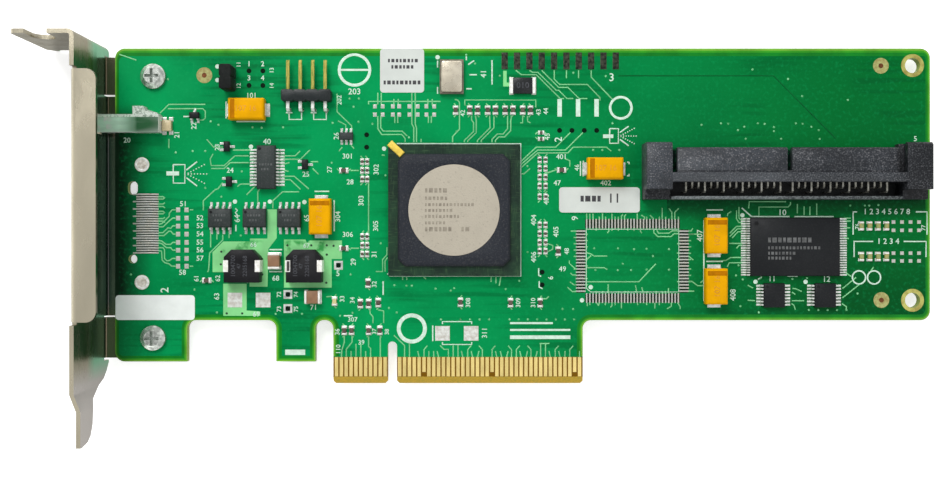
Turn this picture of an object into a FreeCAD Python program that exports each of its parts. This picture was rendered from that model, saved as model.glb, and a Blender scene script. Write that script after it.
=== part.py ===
"""Low-profile edge-connector raid controller card: board, folded bracket, controller, drive port and parts.

Frame: the origin is the middle of the key notch on the insertion edge, at half the board's thickness.
+X runs along the board away from the bracket, +Y from the insertion edge to the top edge, and +Z is the
component side. Millimetres throughout.
"""
import FreeCAD, Part
import os
import re

import Sketcher
from FreeCAD import Placement, Rotation, Vector

SIZES = {
    # Circuit board outline
    "board_thick": 1.57, "board_left": -57.05, "board_right": 110.6, "board_head": 68.9, "board_foot": 13.0,
    "foot_tab_end": 4.5, "screw_tab_right": -42.2, "guide_tab_left": -23.9, "guide_tab_right": -15.8,
    "finger_left": -12.15, "finger_right": 39.15, "key_width": 1.9, "key_head": 8.6, "board_corner": 2.0,
    "inner_corner": 1.7, "finger_corner": 0.5, "bevel_height": 1.4, "bevel_depth": 0.45,
    # Board holes
    "mount_hole_x": 107.0, "mount_hole_y": 17.1, "mount_hole_gap": 48.3, "mount_hole_radius": 1.55,
    "ring_radius": 2.35, "ring_thick": 0.05, "screw_x": -49.1, "screw_high_y": 63.1, "screw_low_y": 9.4,
    "screw_hole_radius": 1.7, "plug_x": -51.5, "plug_high_y": 45.0, "plug_low_y": 20.8, "plug_radius": 1.5,
    "peg_hole_x": -53.4, "peg_oval_y": 40.2, "peg_oval_width": 2.0, "peg_oval_height": 2.8,
    "peg_round_y": 25.6, "peg_round_radius": 0.9, "header_pitch": 2.54,
    # Gold edge contacts
    "finger_pitch": 1.0, "finger_width": 0.7, "finger_foot": 1.45, "finger_head": 5.4, "finger_thick": 0.05,
    "finger_first_x": -11.5, "finger_second_x": 1.5, "fingers_before_key": 11, "fingers_after_key": 38,
    "short_finger_cut": 0.9,
    # Folded bracket
    "sheet_thick": 0.86, "bend_radius": 0.4, "bend_land": 0.15, "plate_outer": -60.51, "plate_low": -2.8,
    "plate_high": 15.62, "lip_foot": 13.75, "lip_head": 62.25, "low_lip_head": 59.4,
    "high_lip_reach": -55.45, "low_lip_reach": -56.6, "relief": 0.6, "lip_corner": 2.0,
    "low_lip_corner": 1.4, "tab_corner": 1.0,
    "top_tab_under": 69.0, "top_tab_reach": -71.95, "top_tab_cut": 1.6, "slot_x": -67.05, "slot_width": 4.42,
    "slot_floor": 9.6, "tab_notch_left": -69.9, "tab_notch_right": -67.4, "tab_notch_depth": 1.0,
    "screw_tab_reach": -44.6, "low_tab_foot": 5.1, "low_tab_head": 13.5, "high_tab_foot": 59.65,
    "high_tab_head": 67.35, "tap_radius": 1.5, "collar_radius": 2.3, "collar_drop": 0.7, "jog_depth": 1.3,
    "jog_head": -0.1, "jog_foot": -3.4, "tongue_tip": -10.3,
    # Bracket screws
    "screw_head_radius": 2.55, "screw_head_height": 1.7, "screw_shank_radius": 1.45, "screw_end": -2.55,
    "recess_width": 0.62, "recess_length": 2.9, "recess_depth": 1.0,
    # Light pipe and its indicator
    "pipe_end": -60.3, "pipe_start": -47.2, "pipe_y": 53.2, "pipe_width": 3.6, "pipe_low": 1.6,
    "pipe_high": 3.9, "pipe_step_x": -53.1, "pipe_step_run": 0.6, "pipe_foot_left": -52.6,
    "pipe_foot_mid": -50.4,
    "pipe_foot_right": -47.6, "pipe_foot_width": 1.75, "pipe_foot_high": 3.4, "pipe_clearance": 0.25,
    "lamp_length": 1.9, "lamp_width": 2.2, "lamp_high": 1.9, "lamp_pad": 0.55,
    # Controller package
    "chip_x": 12.7, "chip_y": 35.6, "substrate_side": 27.0, "substrate_thick": 0.56, "ball_high": 0.5,
    "ball_radius": 0.3, "ball_pitch": 1.0, "balls_on_side": 26, "mould_side": 23.0, "mould_thick": 0.95,
    "mould_corner": 3.0, "mould_draft": 0.45, "slug_radius": 9.3, "slug_thick": 0.18,
    # Drive port
    "port_left": 51.3, "port_right": 108.45, "arm_width": 5.1, "arm_back": 39.65, "arm_front": 49.1,
    "port_high": 6.9, "wall_back": 41.2, "wall_front": 43.05, "step_back": 37.75, "step_high": 4.6,
    "rail_thick": 0.6, "rail_high": 5.2, "tongue_left": 57.5, "tongue_right": 101.9, "tongue_front": 48.1,
    "blade_low": 4.9, "blade_high": 6.4, "port_key_left": 79.5, "port_key_width": 1.0, "key_land": 0.4,
    "arm_bevel": 0.5, "blade_bevel": 0.35,
    "groove_low": 2.6, "groove_high": 5.8, "groove_depth": 1.0, "contact_pitch": 1.27, "contacts_a_bank": 16,
    "bank_left_x": 59.5, "bank_right_x": 81.0, "contact_width": 0.34, "contact_thick": 0.25,
    "contact_front": 46.6, "contact_near": 40.3, "contact_far": 39.4, "contact_foot": 0.5,
    "hold_down_inset": 2.6, "hold_down_y": 44.2, "hold_down_radius": 0.85, "hold_down_end": -2.55,
    # Flash chip
    "flash_x": 82.6, "flash_y": 28.1, "flash_length": 18.4, "flash_width": 12.0, "flash_high": 1.05,
    "flash_reach": 0.8, "flash_pitch": 0.5, "flash_leads": 24, "flash_lead_width": 0.22,
    # Driver chip
    "driver_x": -25.75, "driver_y": 44.4, "driver_length": 4.0, "driver_width": 9.0, "driver_high": 1.7,
    "driver_reach": 1.3, "driver_leads": 12, "narrow_pitch": 0.65, "narrow_lead_width": 0.3,
    # Logic chips
    "logic_first_x": 78.35, "logic_step": 10.45, "logic_y": 18.15, "logic_length": 4.4, "logic_width": 5.0,
    "logic_high": 1.05, "logic_reach": 1.0, "logic_leads": 7,
    # Regulators: three eight-lead chips in a row
    "regulator_first_x": -35.3, "regulator_step": 7.1, "regulator_y": 34.0, "regulator_length": 3.9,
    "regulator_width": 4.9, "regulator_high": 1.5, "regulator_reach": 1.05, "wide_lead_width": 0.42,
    "wide_pitch": 1.27,
    # Small switch and transistors
    "switch_x": -9.45, "switch_y": 50.8, "switch_length": 1.6, "switch_width": 2.9, "small_high": 1.05,
    "small_reach": 0.6, "switch_pitch": 0.95, "transistor_length": 1.3, "transistor_width": 2.1,
    # Moulded tantalum capacitors
    "tantalum_length": 7.3, "tantalum_width": 4.4, "tantalum_high": 2.9, "tantalum_lift": 0.25,
    "tantalum_bevel": 0.35, "tantalum_foot": 1.0,
    "tantalum_pad_width": 2.4, "tantalum_pad_reach": 0.45, "terminal_thick": 0.15, "terminal_rise": 1.3,
    # Power inductors
    "inductor_first_x": -30.4, "inductor_step": 12.6, "inductor_y": 24.2, "inductor_length": 7.2,
    "inductor_width": 6.7, "inductor_high": 3.0, "inductor_corner": 1.5, "inductor_foot": 1.2,
    "inductor_terminal_width": 2.4,
    "inductor_terminal_length": 0.9,
    # Oscillator
    "oscillator_x": 12.2, "oscillator_y": 63.0, "oscillator_width": 4.9, "oscillator_length": 7.0,
    "oscillator_base": 0.9, "oscillator_high": 1.35, "oscillator_rim": 0.3,
    # Right-angle indicator header
    "led_header_x": -21.25, "led_header_pins": 4, "led_header_back": 57.8, "led_header_front": 60.2,
    "led_header_high": 3.3, "pin_width": 0.64, "led_pin_tip": 66.3,
    "led_pin_level": 2.1, "led_pin_bend": 56.2, "pin_end": -2.3, "pin_hole_radius": 0.5,
    # Jumper header
    "jumper_x": -33.4, "jumper_y": 62.5, "jumper_width": 2.5, "jumper_base": 1.6,
    "jumper_cap_high": 5.3, "jumper_pin_high": 4.9, "header_notch": 0.3,
    # End-capped ceramics and the sense resistor
    "sense_x": 26.8, "sense_y": 61.2, "sense_length": 5.2, "sense_width": 3.3, "sense_high": 0.65,
    "sense_cap": 0.6, "ceramic_high": 1.5,
    "power_pad_side": 3.0, "power_pad_thick": 0.06,
    # Small chip parts (body length, width and height, and end cap length)
    "chip_length": 1.6, "chip_width": 0.8, "chip_high": 0.5, "chip_cap": 0.3,
    "tiny_length": 1.0, "tiny_width": 0.5, "tiny_high": 0.4, "tiny_cap": 0.22,
    # Status lamps: two rows of four
    "status_first_x": 96.4, "status_step": 1.72, "status_high_y": 32.4, "status_low_y": 26.1,
    "status_length": 1.6, "status_width": 0.85, "status_high": 0.6, "status_cap": 0.28, "status_count": 4,
    # Stickers
    "sticker_thick": 0.08, "square_sticker_x": 2.0, "square_sticker_y": 64.35, "square_sticker_side": 9.05,
    "port_sticker_x": 42.6, "port_sticker_y": 37.75, "port_sticker_length": 16.6, "port_sticker_width": 5.2,
    "serial_sticker_x": -48.8, "serial_sticker_y": 15.6, "serial_sticker_length": 16.3,
    "serial_sticker_width": 5.1, "sticker_corner": 0.7,
}

# Low side of the bracket's tongue, from the plate to the tip: Y and Z of each corner.
TONGUE_TAPER = [(4.0, -2.8), (2.3, -1.5), (1.0, -0.1), (-2.0, 7.8), (-3.4, 9.1), (-6.8, 9.5), (-8.8, 10.5),
                (-9.8, 11.9), (-10.3, 14.6)]
# Presence contacts that stop short of the others, counted from the first contact of each face.
SHORT_CONTACTS = {"edge_contacts_component_side": (16, 30, 47), "edge_contacts_solder_side": (0,)}
# Places of the parts that follow no pitch: X, Y and, where it matters, the turn about Z in degrees.
TRANSISTORS = [(-40.6, 55.1, 90), (-33.95, 48.7, 0), (-33.5, 41.5, 0), (-17.9, 45.0, 0)]
TANTALUMS = [(-29.6, 56.2, 180), (-14.6, 34.3, 90), (43.5, 44.1, 180), (66.15, 30.4, 90), (66.15, 20.05, 90)]
CERAMICS = [(-24.2, 25.2, 90, 3.2, 2.4), (-16.3, 17.8, 0, 3.2, 2.6)]
POWER_PADS = [(-32.4, 17.15), (-26.6, 17.15), (10.3, 10.3), (16.2, 10.3)]

doc = FreeCAD.newDocument("raid_controller_card")
sheet = doc.addObject("Spreadsheet::Sheet", "Sizes")


# ---------------------------------------------------------------- sheet and expressions

def fill_sheet():
    """Write every driving dimension to the sheet as a named plain number."""
    for row, (name, number) in enumerate(SIZES.items(), start=1):
        sheet.set(f"A{row}", name)
        sheet.set(f"B{row}", str(number))
        sheet.setAlias(f"B{row}", name)
    doc.recompute()


def bound(text):
    """Turn the sheet's names in an expression into references to the sheet."""
    return re.sub(r"[a-z_]+", lambda word: f"Sizes.{word[0]}" if word[0] in SIZES else word[0], text)


def value(text):
    """The number that an expression in sheet names stands for."""
    return float(sheet.evalExpression(bound(text)))


# ---------------------------------------------------------------- sketches and features

def new_body(label):
    body = doc.addObject("PartDesign::Body", label)
    body.Label = label
    return body


def new_sketch(body, name, plane, offset):
    """A sketch on one of the body's own origin planes, moved along that plane's normal."""
    sketch = body.newObject("Sketcher::SketchObject", name)
    base = next(item for item in body.Origin.OriginFeatures if item.Role == plane)
    sketch.AttachmentSupport = [(base, "")]
    sketch.MapMode = "FlatFace"
    sketch.setExpression("AttachmentOffset.Base.z", bound(offset))
    return sketch


def pin(sketch, geometry, vertex, across, up):
    """Hold one sketch point at a place given by two sheet expressions."""
    for kind, text in (("DistanceX", across), ("DistanceY", up)):
        index = sketch.addConstraint(Sketcher.Constraint(kind, -1, 1, geometry, vertex, value(text)))
        sketch.setExpression(f"Constraints[{index}]", bound(text))


def outline(sketch, corners):
    """A closed straight-sided outline with every corner pinned by sheet expressions."""
    points = [Vector(value(across), value(up), 0) for across, up in corners]
    first = sketch.GeometryCount
    count = len(points)
    for index, point in enumerate(points):
        sketch.addGeometry(Part.LineSegment(point, points[(index + 1) % count]), False)
    for index in range(count):
        following = first + (index + 1) % count
        sketch.addConstraint(Sketcher.Constraint("Coincident", first + index, 2, following, 1))
    for index, (across, up) in enumerate(corners):
        pin(sketch, first + index, 1, across, up)


def rectangle(sketch, left, right, low, high):
    outline(sketch, [(left, low), (right, low), (right, high), (left, high)])


def circle(sketch, across, up, radius):
    centre = Vector(value(across), value(up), 0)
    index = sketch.addGeometry(Part.Circle(centre, Vector(0, 0, 1), value(radius)), False)
    pin(sketch, index, 3, across, up)
    limit = sketch.addConstraint(Sketcher.Constraint("Radius", index, value(radius)))
    sketch.setExpression(f"Constraints[{limit}]", bound(radius))


def pad(body, name, sketch, length, both=False, back=False):
    feature = body.newObject("PartDesign::Pad", name)
    feature.Profile = sketch
    feature.setExpression("Length", bound(length))
    feature.Midplane = both
    feature.Reversed = back
    doc.recompute()
    return feature


def pocket(body, name, sketch, depth=None, back=False):
    """Cut a sketch to a depth, or right through both ways, and prove that it removed material."""
    before = body.Shape.Volume
    feature = body.newObject("PartDesign::Pocket", name)
    feature.Profile = sketch
    if depth is None:
        feature.Type = "ThroughAll"
        feature.Midplane = True
    else:
        feature.setExpression("Length", bound(depth))
        feature.Reversed = back
    doc.recompute()
    if not feature.Shape.Volume < before - 1e-6:
        raise RuntimeError(f"{name} removed nothing")
    return feature


def edges_along(feature, axis, places, span):
    """Names of the straight edges parallel to an axis, within a span of it, through places across it."""
    along = "XYZ".index(axis)
    across = [index for index in range(3) if index != along]
    names = []
    for number, edge in enumerate(feature.Shape.Edges, start=1):
        ends = [vertex.Point for vertex in edge.Vertexes]
        inside = all(span[0] - 1e-4 < end[along] < span[1] + 1e-4 for end in ends)
        if edge.Curve.TypeId != "Part::GeomLine" or not inside:
            continue
        for place in places:
            if all(abs(end[index] - place[k]) < 1e-4 for end in ends for k, index in enumerate(across)):
                names.append(f"Edge{number}")
    return names


def dress(kind, body, name, axis, places, amount, span=("-1000", "1000")):
    """Fillet or chamfer the tip's edges that run along an axis at places given in sheet expressions."""
    base = body.Tip
    spots = [(value(first), value(second)) for first, second in places]
    names = edges_along(base, axis, spots, [value(end) for end in span])
    if len(names) < len(spots):
        raise RuntimeError(f"{name} found {len(names)} edges for {len(spots)} places")
    feature = body.newObject(f"PartDesign::{kind}", name)
    feature.Base = (base, names)
    feature.setExpression("Radius" if kind == "Fillet" else "Size", bound(amount))
    doc.recompute()
    if feature.Shape.isNull() or "Invalid" in feature.State:
        raise RuntimeError(f"{name} could not be rounded or cut")
    return feature


def row_pattern(body, name, feature, plane_axis, pitch, count):
    """Repeat a feature along one of the body's own axes."""
    pattern = body.newObject("PartDesign::LinearPattern", name)
    axis = next(item for item in body.Origin.OriginFeatures if item.Role == plane_axis)
    pattern.Originals = [feature]
    pattern.Direction = (axis, [""])
    pattern.Mode = "Spacing"
    pattern.setExpression("Offset", bound(pitch))
    pattern.setExpression("Occurrences", bound(count))
    body.Tip = pattern
    doc.recompute()
    return pattern


def block(name, corner, extent):
    """A box with its low corner and its three sizes bound to the sheet."""
    box = doc.addObject("Part::Box", name)
    for axis, text in zip("xyz", corner):
        box.setExpression(f"Placement.Base.{axis}", bound(text))
    for side, text in zip(("Length", "Width", "Height"), extent):
        box.setExpression(side, bound(text))
    return box


def centred_block(name, middle, low, extent):
    """A box centred on a place in X and Y and standing on a level."""
    length, width, height = extent
    across, along = middle
    corner = (f"{across} - ({length}) / 2", f"{along} - ({width}) / 2", low)
    return block(name, corner, (length, width, height))


def round_post(name, middle, low, radius, height):
    post = doc.addObject("Part::Cylinder", name)
    for axis, text in zip("xyz", (*middle, low)):
        post.setExpression(f"Placement.Base.{axis}", bound(text))
    post.setExpression("Radius", bound(radius))
    post.setExpression("Height", bound(height))
    return post


def compound(label, members):
    """One node that holds identical pieces as separate solids."""
    group = doc.addObject("Part::Compound", label)
    group.Label = label
    group.Links = members
    return group


def free_group(label, shapes):
    """A node of repeated pieces whose solids are worked out from the sheet's values."""
    group = doc.addObject("Part::Feature", label)
    group.Label = label
    group.Shape = Part.makeCompound(shapes)
    group.Placement = Placement()
    return group


# ---------------------------------------------------------------- circuit board

TOP = "board_thick / 2"
UNDER = "-board_thick / 2"


def circuit_board():
    """The laminate: its outline with tabs and notches, its bevelled insertion edge and its holes."""
    body = new_body("circuit_board")
    edge = new_sketch(body, "board_outline", "XY_Plane", "0")
    key = "key_width / 2"
    outline(edge, [
        ("board_left", "foot_tab_end"), ("screw_tab_right", "foot_tab_end"),
        ("screw_tab_right", "board_foot"), ("guide_tab_left", "board_foot"),
        ("guide_tab_left", "foot_tab_end"), ("guide_tab_right", "foot_tab_end"),
        ("guide_tab_right", "board_foot"), ("finger_left", "board_foot"), ("finger_left", "0"),
        (f"-{key}", "0"),
        (f"-{key}", "key_head"), (key, "key_head"), (key, "0"), ("finger_right", "0"),
        ("finger_right", "board_foot"), ("board_right", "board_foot"), ("board_right", "board_head"),
        ("board_left", "board_head")])
    pad(body, "board_sheet", edge, "board_thick", both=True)
    dress("Fillet", body, "outer_corners", "Z", [
        ("board_left", "foot_tab_end"), ("board_left", "board_head"), ("board_right", "board_head"),
        ("board_right", "board_foot")], "board_corner")
    dress("Fillet", body, "inner_corners", "Z", [
        ("screw_tab_right", "board_foot"), ("guide_tab_left", "board_foot"), ("finger_right", "board_foot"),
        ("guide_tab_right", "board_foot"), ("finger_left", "board_foot")], "inner_corner")
    dress("Fillet", body, "key_round", "Z", [(f"-{key}", "key_head"), (key, "key_head")], "key_width * 0.49")
    dress("Chamfer", body, "finger_corners", "Z", [
        ("finger_left", "0"), (f"-{key}", "0"), (key, "0"), ("finger_right", "0")], "finger_corner")
    bevel = new_sketch(body, "bevel_profile", "YZ_Plane", "0")
    for sign in ("", "-"):
        outline(bevel, [("0", f"{sign}({TOP} - bevel_depth)"), ("bevel_height", f"{sign}({TOP})"),
                        ("bevel_height", f"{sign}board_thick"), ("-1", f"{sign}board_thick"),
                        ("-1", f"{sign}({TOP} - bevel_depth)")])
    pocket(body, "insertion_bevel", bevel)
    holes = new_sketch(body, "hole_plan", "XY_Plane", "0")
    for level in ("mount_hole_y", "mount_hole_y + mount_hole_gap"):
        circle(holes, "mount_hole_x", level, "mount_hole_radius")
    for level in ("screw_high_y", "screw_low_y"):
        circle(holes, "screw_x", level, "screw_hole_radius")
    for level in ("plug_high_y", "plug_low_y"):
        circle(holes, "plug_x", level, "plug_radius")
    circle(holes, "peg_hole_x", "peg_round_y", "peg_round_radius")
    for number in range(int(value("led_header_pins"))):
        circle(holes, f"led_header_x + {number} * header_pitch", "led_pin_bend", "pin_hole_radius")
    for sign in ("-", "+"):
        circle(holes, "jumper_x", f"jumper_y {sign} header_pitch / 2", "pin_hole_radius")
    for place in ("port_left + hold_down_inset", "port_right - hold_down_inset"):
        circle(holes, place, "hold_down_y", "hold_down_radius")
    pocket(body, "round_holes", holes)
    oval = new_sketch(body, "oval_hole", "XY_Plane", "0")
    half_width, half_height = "peg_oval_width / 2", "peg_oval_height / 2"
    rectangle(oval, f"peg_hole_x - {half_width}", f"peg_hole_x + {half_width}", f"peg_oval_y - {half_height}",
              f"peg_oval_y + {half_height}")
    pocket(body, "peg_slot", oval)
    dress("Fillet", body, "peg_slot_round", "Z", [
        (f"peg_hole_x {a} {half_width}", f"peg_oval_y {b} {half_height}") for a in "+-" for b in "+-"],
        "peg_oval_width * 0.49")
    return body


def edge_contacts(label, level):
    """The gold pads of one face: eleven before the key notch, thirty-eight after it, a few of them short."""
    pads = []
    for first, count in (("finger_first_x", "fingers_before_key"), ("finger_second_x", "fingers_after_key")):
        for number in range(int(value(count))):
            left = f"{first} + {number} * finger_pitch - finger_width / 2"
            foot = "finger_foot + short_finger_cut" if len(pads) in SHORT_CONTACTS[label] else "finger_foot"
            pads.append(block(f"{label}_{len(pads)}", (left, foot, level),
                              ("finger_width", f"finger_head - ({foot})", "finger_thick")))
    return compound(label, pads)


def mounting_hole_rings():
    """Plated rings round the two rear mounting holes, on both faces."""
    rings = []
    for level in (TOP, f"{UNDER} - ring_thick"):
        for along in ("mount_hole_y", "mount_hole_y + mount_hole_gap"):
            name = f"ring_{len(rings)}"
            outer = round_post(f"{name}_disc", ("mount_hole_x", along), level, "ring_radius", "ring_thick")
            inner = round_post(f"{name}_bore", ("mount_hole_x", along), level, "mount_hole_radius",
                               "ring_thick")
            ring = doc.addObject("Part::Cut", name)
            ring.Base = outer
            ring.Tool = inner
            rings.append(ring)
    return compound("mounting_hole_rings", rings)


def solder_plugs():
    """Two solder-filled holes near the bracket, slightly domed above the board as short posts."""
    posts = [round_post(f"solder_plug_{word}", ("plug_x", f"plug_{word}_y"), UNDER, "plug_radius",
                        "board_thick + 0.15") for word in ("high", "low")]
    return compound("solder_plugs", posts)


# ---------------------------------------------------------------- folded bracket

INNER = "plate_outer + sheet_thick"
OUTER_BEND = "bend_radius + sheet_thick"


def folded_corner(body, name, axis, inside, outside, span):
    """Round the inner and outer edges of one fold so that the sheet keeps its thickness."""
    dress("Fillet", body, f"{name}_inside", axis, [inside], "bend_radius", span)
    dress("Fillet", body, f"{name}_outside", axis, [outside], OUTER_BEND, span)


def bracket_lips(body):
    """The two long lips folded inward: one over the component side, one just below the board."""
    high = new_sketch(body, "high_lip_profile", "XZ_Plane", "-lip_head")
    root = "plate_high - sheet_thick - bend_radius - bend_land"
    outline(high, [("plate_outer", root), (INNER, root), (INNER, "plate_high - sheet_thick"),
                   ("high_lip_reach", "plate_high - sheet_thick"), ("high_lip_reach", "plate_high"),
                   ("plate_outer", "plate_high")])
    pad(body, "high_lip", high, "lip_head - lip_foot")
    folded_corner(body, "high_fold", "Y", (INNER, "plate_high - sheet_thick"), ("plate_outer", "plate_high"),
                  ("lip_foot", "lip_head"))
    dress("Fillet", body, "high_lip_corners", "Z", [
        ("high_lip_reach", "lip_foot"), ("high_lip_reach", "lip_head")], "lip_corner")
    low = new_sketch(body, "low_lip_profile", "XZ_Plane", "-low_lip_head")
    root = "plate_low + sheet_thick + bend_radius + bend_land"
    outline(low, [("plate_outer", root), (INNER, root), (INNER, "plate_low + sheet_thick"),
                  ("low_lip_reach", "plate_low + sheet_thick"), ("low_lip_reach", "plate_low"),
                  ("plate_outer", "plate_low")])
    pad(body, "low_lip", low, "low_lip_head - lip_foot")
    folded_corner(body, "low_fold", "Y", (INNER, "plate_low + sheet_thick"), ("plate_outer", "plate_low"),
                  ("lip_foot", "low_lip_head"))
    dress("Fillet", body, "low_lip_corners", "Z", [
        ("low_lip_reach", "lip_foot"), ("low_lip_reach", "low_lip_head")], "low_lip_corner")


def bracket_screw_tabs(body):
    """The two tabs folded under the board, each with a tapped and collared screw hole."""
    root, sole = f"{UNDER} + bend_radius + bend_land", f"{UNDER} - sheet_thick"
    for word in ("low", "high"):
        foot, head = f"{word}_tab_foot", f"{word}_tab_head"
        profile = new_sketch(body, f"{word}_tab_profile", "XZ_Plane", f"-{head}")
        outline(profile, [("plate_outer", root), (INNER, root), (INNER, UNDER), ("screw_tab_reach", UNDER),
                          ("screw_tab_reach", sole), ("plate_outer", sole)])
        pad(body, f"{word}_screw_tab", profile, f"{head} - {foot}")
        folded_corner(body, f"{word}_tab_fold", "Y", (INNER, UNDER), ("plate_outer", sole), (foot, head))
        dress("Fillet", body, f"{word}_tab_corners", "Z", [
            ("screw_tab_reach", foot), ("screw_tab_reach", head)], "lip_corner")
        collar = new_sketch(body, f"{word}_collar_plan", "XY_Plane", sole)
        circle(collar, "screw_x", f"screw_{word}_y", "collar_radius")
        pad(body, f"{word}_collar", collar, "collar_drop", back=True)
        hole = new_sketch(body, f"{word}_tap_plan", "XY_Plane", UNDER)
        circle(hole, "screw_x", f"screw_{word}_y", "tap_radius")
        pocket(body, f"{word}_tap", hole, "sheet_thick + collar_drop")


def bracket_top_tab(body):
    """The outward top tab with its open screw slot, its locating notch and its cut low corner."""
    root = "plate_low"
    profile = new_sketch(body, "top_tab_profile", "XY_Plane", root)
    outer = "top_tab_under + sheet_thick"
    crest = "top_tab_under - bend_radius - bend_land"
    outline(profile, [("plate_outer", crest), (INNER, crest),
                      (INNER, outer), ("top_tab_reach", outer), ("top_tab_reach", "top_tab_under"),
                      ("plate_outer", "top_tab_under")])
    pad(body, "top_tab", profile, f"plate_high - ({root})")
    folded_corner(body, "top_fold", "Z", ("plate_outer", "top_tab_under"), (INNER, outer),
                  (root, "plate_high"))
    slot = new_sketch(body, "slot_plan", "XZ_Plane", "-top_tab_under")
    left, right = "slot_x - slot_width / 2", "slot_x + slot_width / 2"
    rectangle(slot, left, right, "slot_floor", "plate_high + 1")
    rectangle(slot, "tab_notch_left", "tab_notch_right", f"{root} - 1", f"{root} + tab_notch_depth")
    pocket(body, "screw_slot", slot, "sheet_thick")
    dress("Fillet", body, "slot_round", "Y", [(left, "slot_floor"), (right, "slot_floor")],
          "slot_width * 0.49")
    dress("Fillet", body, "tab_high_corner", "Y", [("top_tab_reach", "plate_high")], "tab_corner")
    dress("Chamfer", body, "tab_low_corner", "Y", [("top_tab_reach", root)], "top_tab_cut")


def bracket_tongue(body):
    """The jogged tongue below the board, tapered on its low side to a rounded tip."""
    profile = new_sketch(body, "tongue_profile", "XY_Plane", "plate_low")
    outline(profile, [("plate_outer", "jog_head"), ("plate_outer + jog_depth", "jog_foot"),
                      ("plate_outer + jog_depth", "tongue_tip"), (f"{INNER} + jog_depth", "tongue_tip"),
                      (f"{INNER} + jog_depth", "jog_foot"), (INNER, "jog_head")])
    pad(body, "tongue", profile, "plate_high - plate_low")
    dress("Fillet", body, "jog_folds", "Z", [
        ("plate_outer", "jog_head"), (INNER, "jog_head"), ("plate_outer + jog_depth", "jog_foot"),
        (f"{INNER} + jog_depth", "jog_foot")], "bend_radius * 2")
    waste = new_sketch(body, "taper_cut_plan", "YZ_Plane", "0")
    corners = [(str(along), str(up)) for along, up in TONGUE_TAPER]
    outline(waste, corners + [("tongue_tip - 1", corners[-1][1]), ("tongue_tip - 1", "plate_low - 1"),
                              (corners[0][0], "plate_low - 1")])
    pocket(body, "tongue_taper", waste)


def bracket():
    """The folded sheet bracket: plate, inward lips, screw tabs, outward top tab and jogged tongue."""
    body = new_body("bracket")
    tab_root = f"{UNDER} + bend_radius + bend_land"
    high_root = "plate_high - sheet_thick - bend_radius - bend_land"
    low_root = "plate_low + sheet_thick + bend_radius + bend_land"
    crest = "top_tab_under - bend_radius - bend_land"
    plate = new_sketch(body, "plate_outline", "YZ_Plane", "plate_outer")
    outline(plate, [
        ("high_tab_head + relief / 2", "plate_low"), (crest, "plate_low"), (crest, "plate_high"),
        ("lip_head + relief", "plate_high"), ("lip_head + relief", high_root),
        ("lip_foot - relief", high_root), ("lip_foot - relief", "plate_high"),
        ("jog_head", "plate_high"), ("jog_head", "plate_low"),
        ("low_tab_foot - relief", "plate_low"), ("low_tab_foot - relief", tab_root), ("lip_foot", tab_root),
        ("lip_foot", low_root), ("low_lip_head", low_root), ("low_lip_head", tab_root),
        ("high_tab_head + relief / 2", tab_root)])
    pad(body, "plate", plate, "sheet_thick")
    bracket_lips(body)
    bracket_screw_tabs(body)
    bracket_top_tab(body)
    bracket_tongue(body)
    window = new_sketch(body, "pipe_window_plan", "YZ_Plane", "plate_outer")
    half = "(pipe_width / 2 + pipe_clearance)"
    rectangle(window, f"pipe_y - {half}", f"pipe_y + {half}", "pipe_low - pipe_clearance",
              "pipe_high + pipe_clearance")
    pocket(body, "pipe_window", window, "sheet_thick", back=True)
    return body


def bracket_screws():
    """Two pan-head screws with cross recesses, seated on the board and threaded into the bracket tabs."""
    body = new_body("bracket_screws")
    profile = new_sketch(body, "screw_profile", "XZ_Plane", "-screw_low_y")
    rim = f"{TOP} + screw_head_height * 0.45"
    crown = f"{TOP} + screw_head_height"
    outline(profile, [("screw_x", "screw_end"), ("screw_x + screw_shank_radius", "screw_end"),
                      ("screw_x + screw_shank_radius", TOP), ("screw_x + screw_head_radius", TOP),
                      ("screw_x + screw_head_radius", rim), ("screw_x + screw_head_radius * 0.62", crown),
                      ("screw_x", crown)])
    turn = body.newObject("PartDesign::Revolution", "screw_turn")
    turn.Profile = profile
    turn.ReferenceAxis = (profile, ["Edge7"])
    turn.Angle = 360
    doc.recompute()
    recess = new_sketch(body, "recess_plan", "XY_Plane", crown)
    long_half, short_half = "recess_length / 2", "recess_width / 2"
    arms = [(long_half, short_half), (short_half, short_half), (short_half, long_half)]
    corners = []
    for sign_x, sign_y in ("++", "-+", "--", "+-"):
        for across, up in arms if sign_x == sign_y else arms[::-1]:
            corners.append((f"screw_x {sign_x} {across}", f"screw_low_y {sign_y} {up}"))
    outline(recess, corners)
    pocket(body, "cross_recess", recess, "recess_depth")
    pattern = body.newObject("PartDesign::LinearPattern", "screw_pair")
    axis = next(item for item in body.Origin.OriginFeatures if item.Role == "Y_Axis")
    pattern.Originals = [turn, body.getObject("cross_recess")]
    pattern.Direction = (axis, [""])
    pattern.setExpression("Length", bound("screw_high_y - screw_low_y"))
    pattern.Occurrences = 2
    body.Tip = pattern
    doc.recompute()
    return body


# ---------------------------------------------------------------- light path

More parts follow.
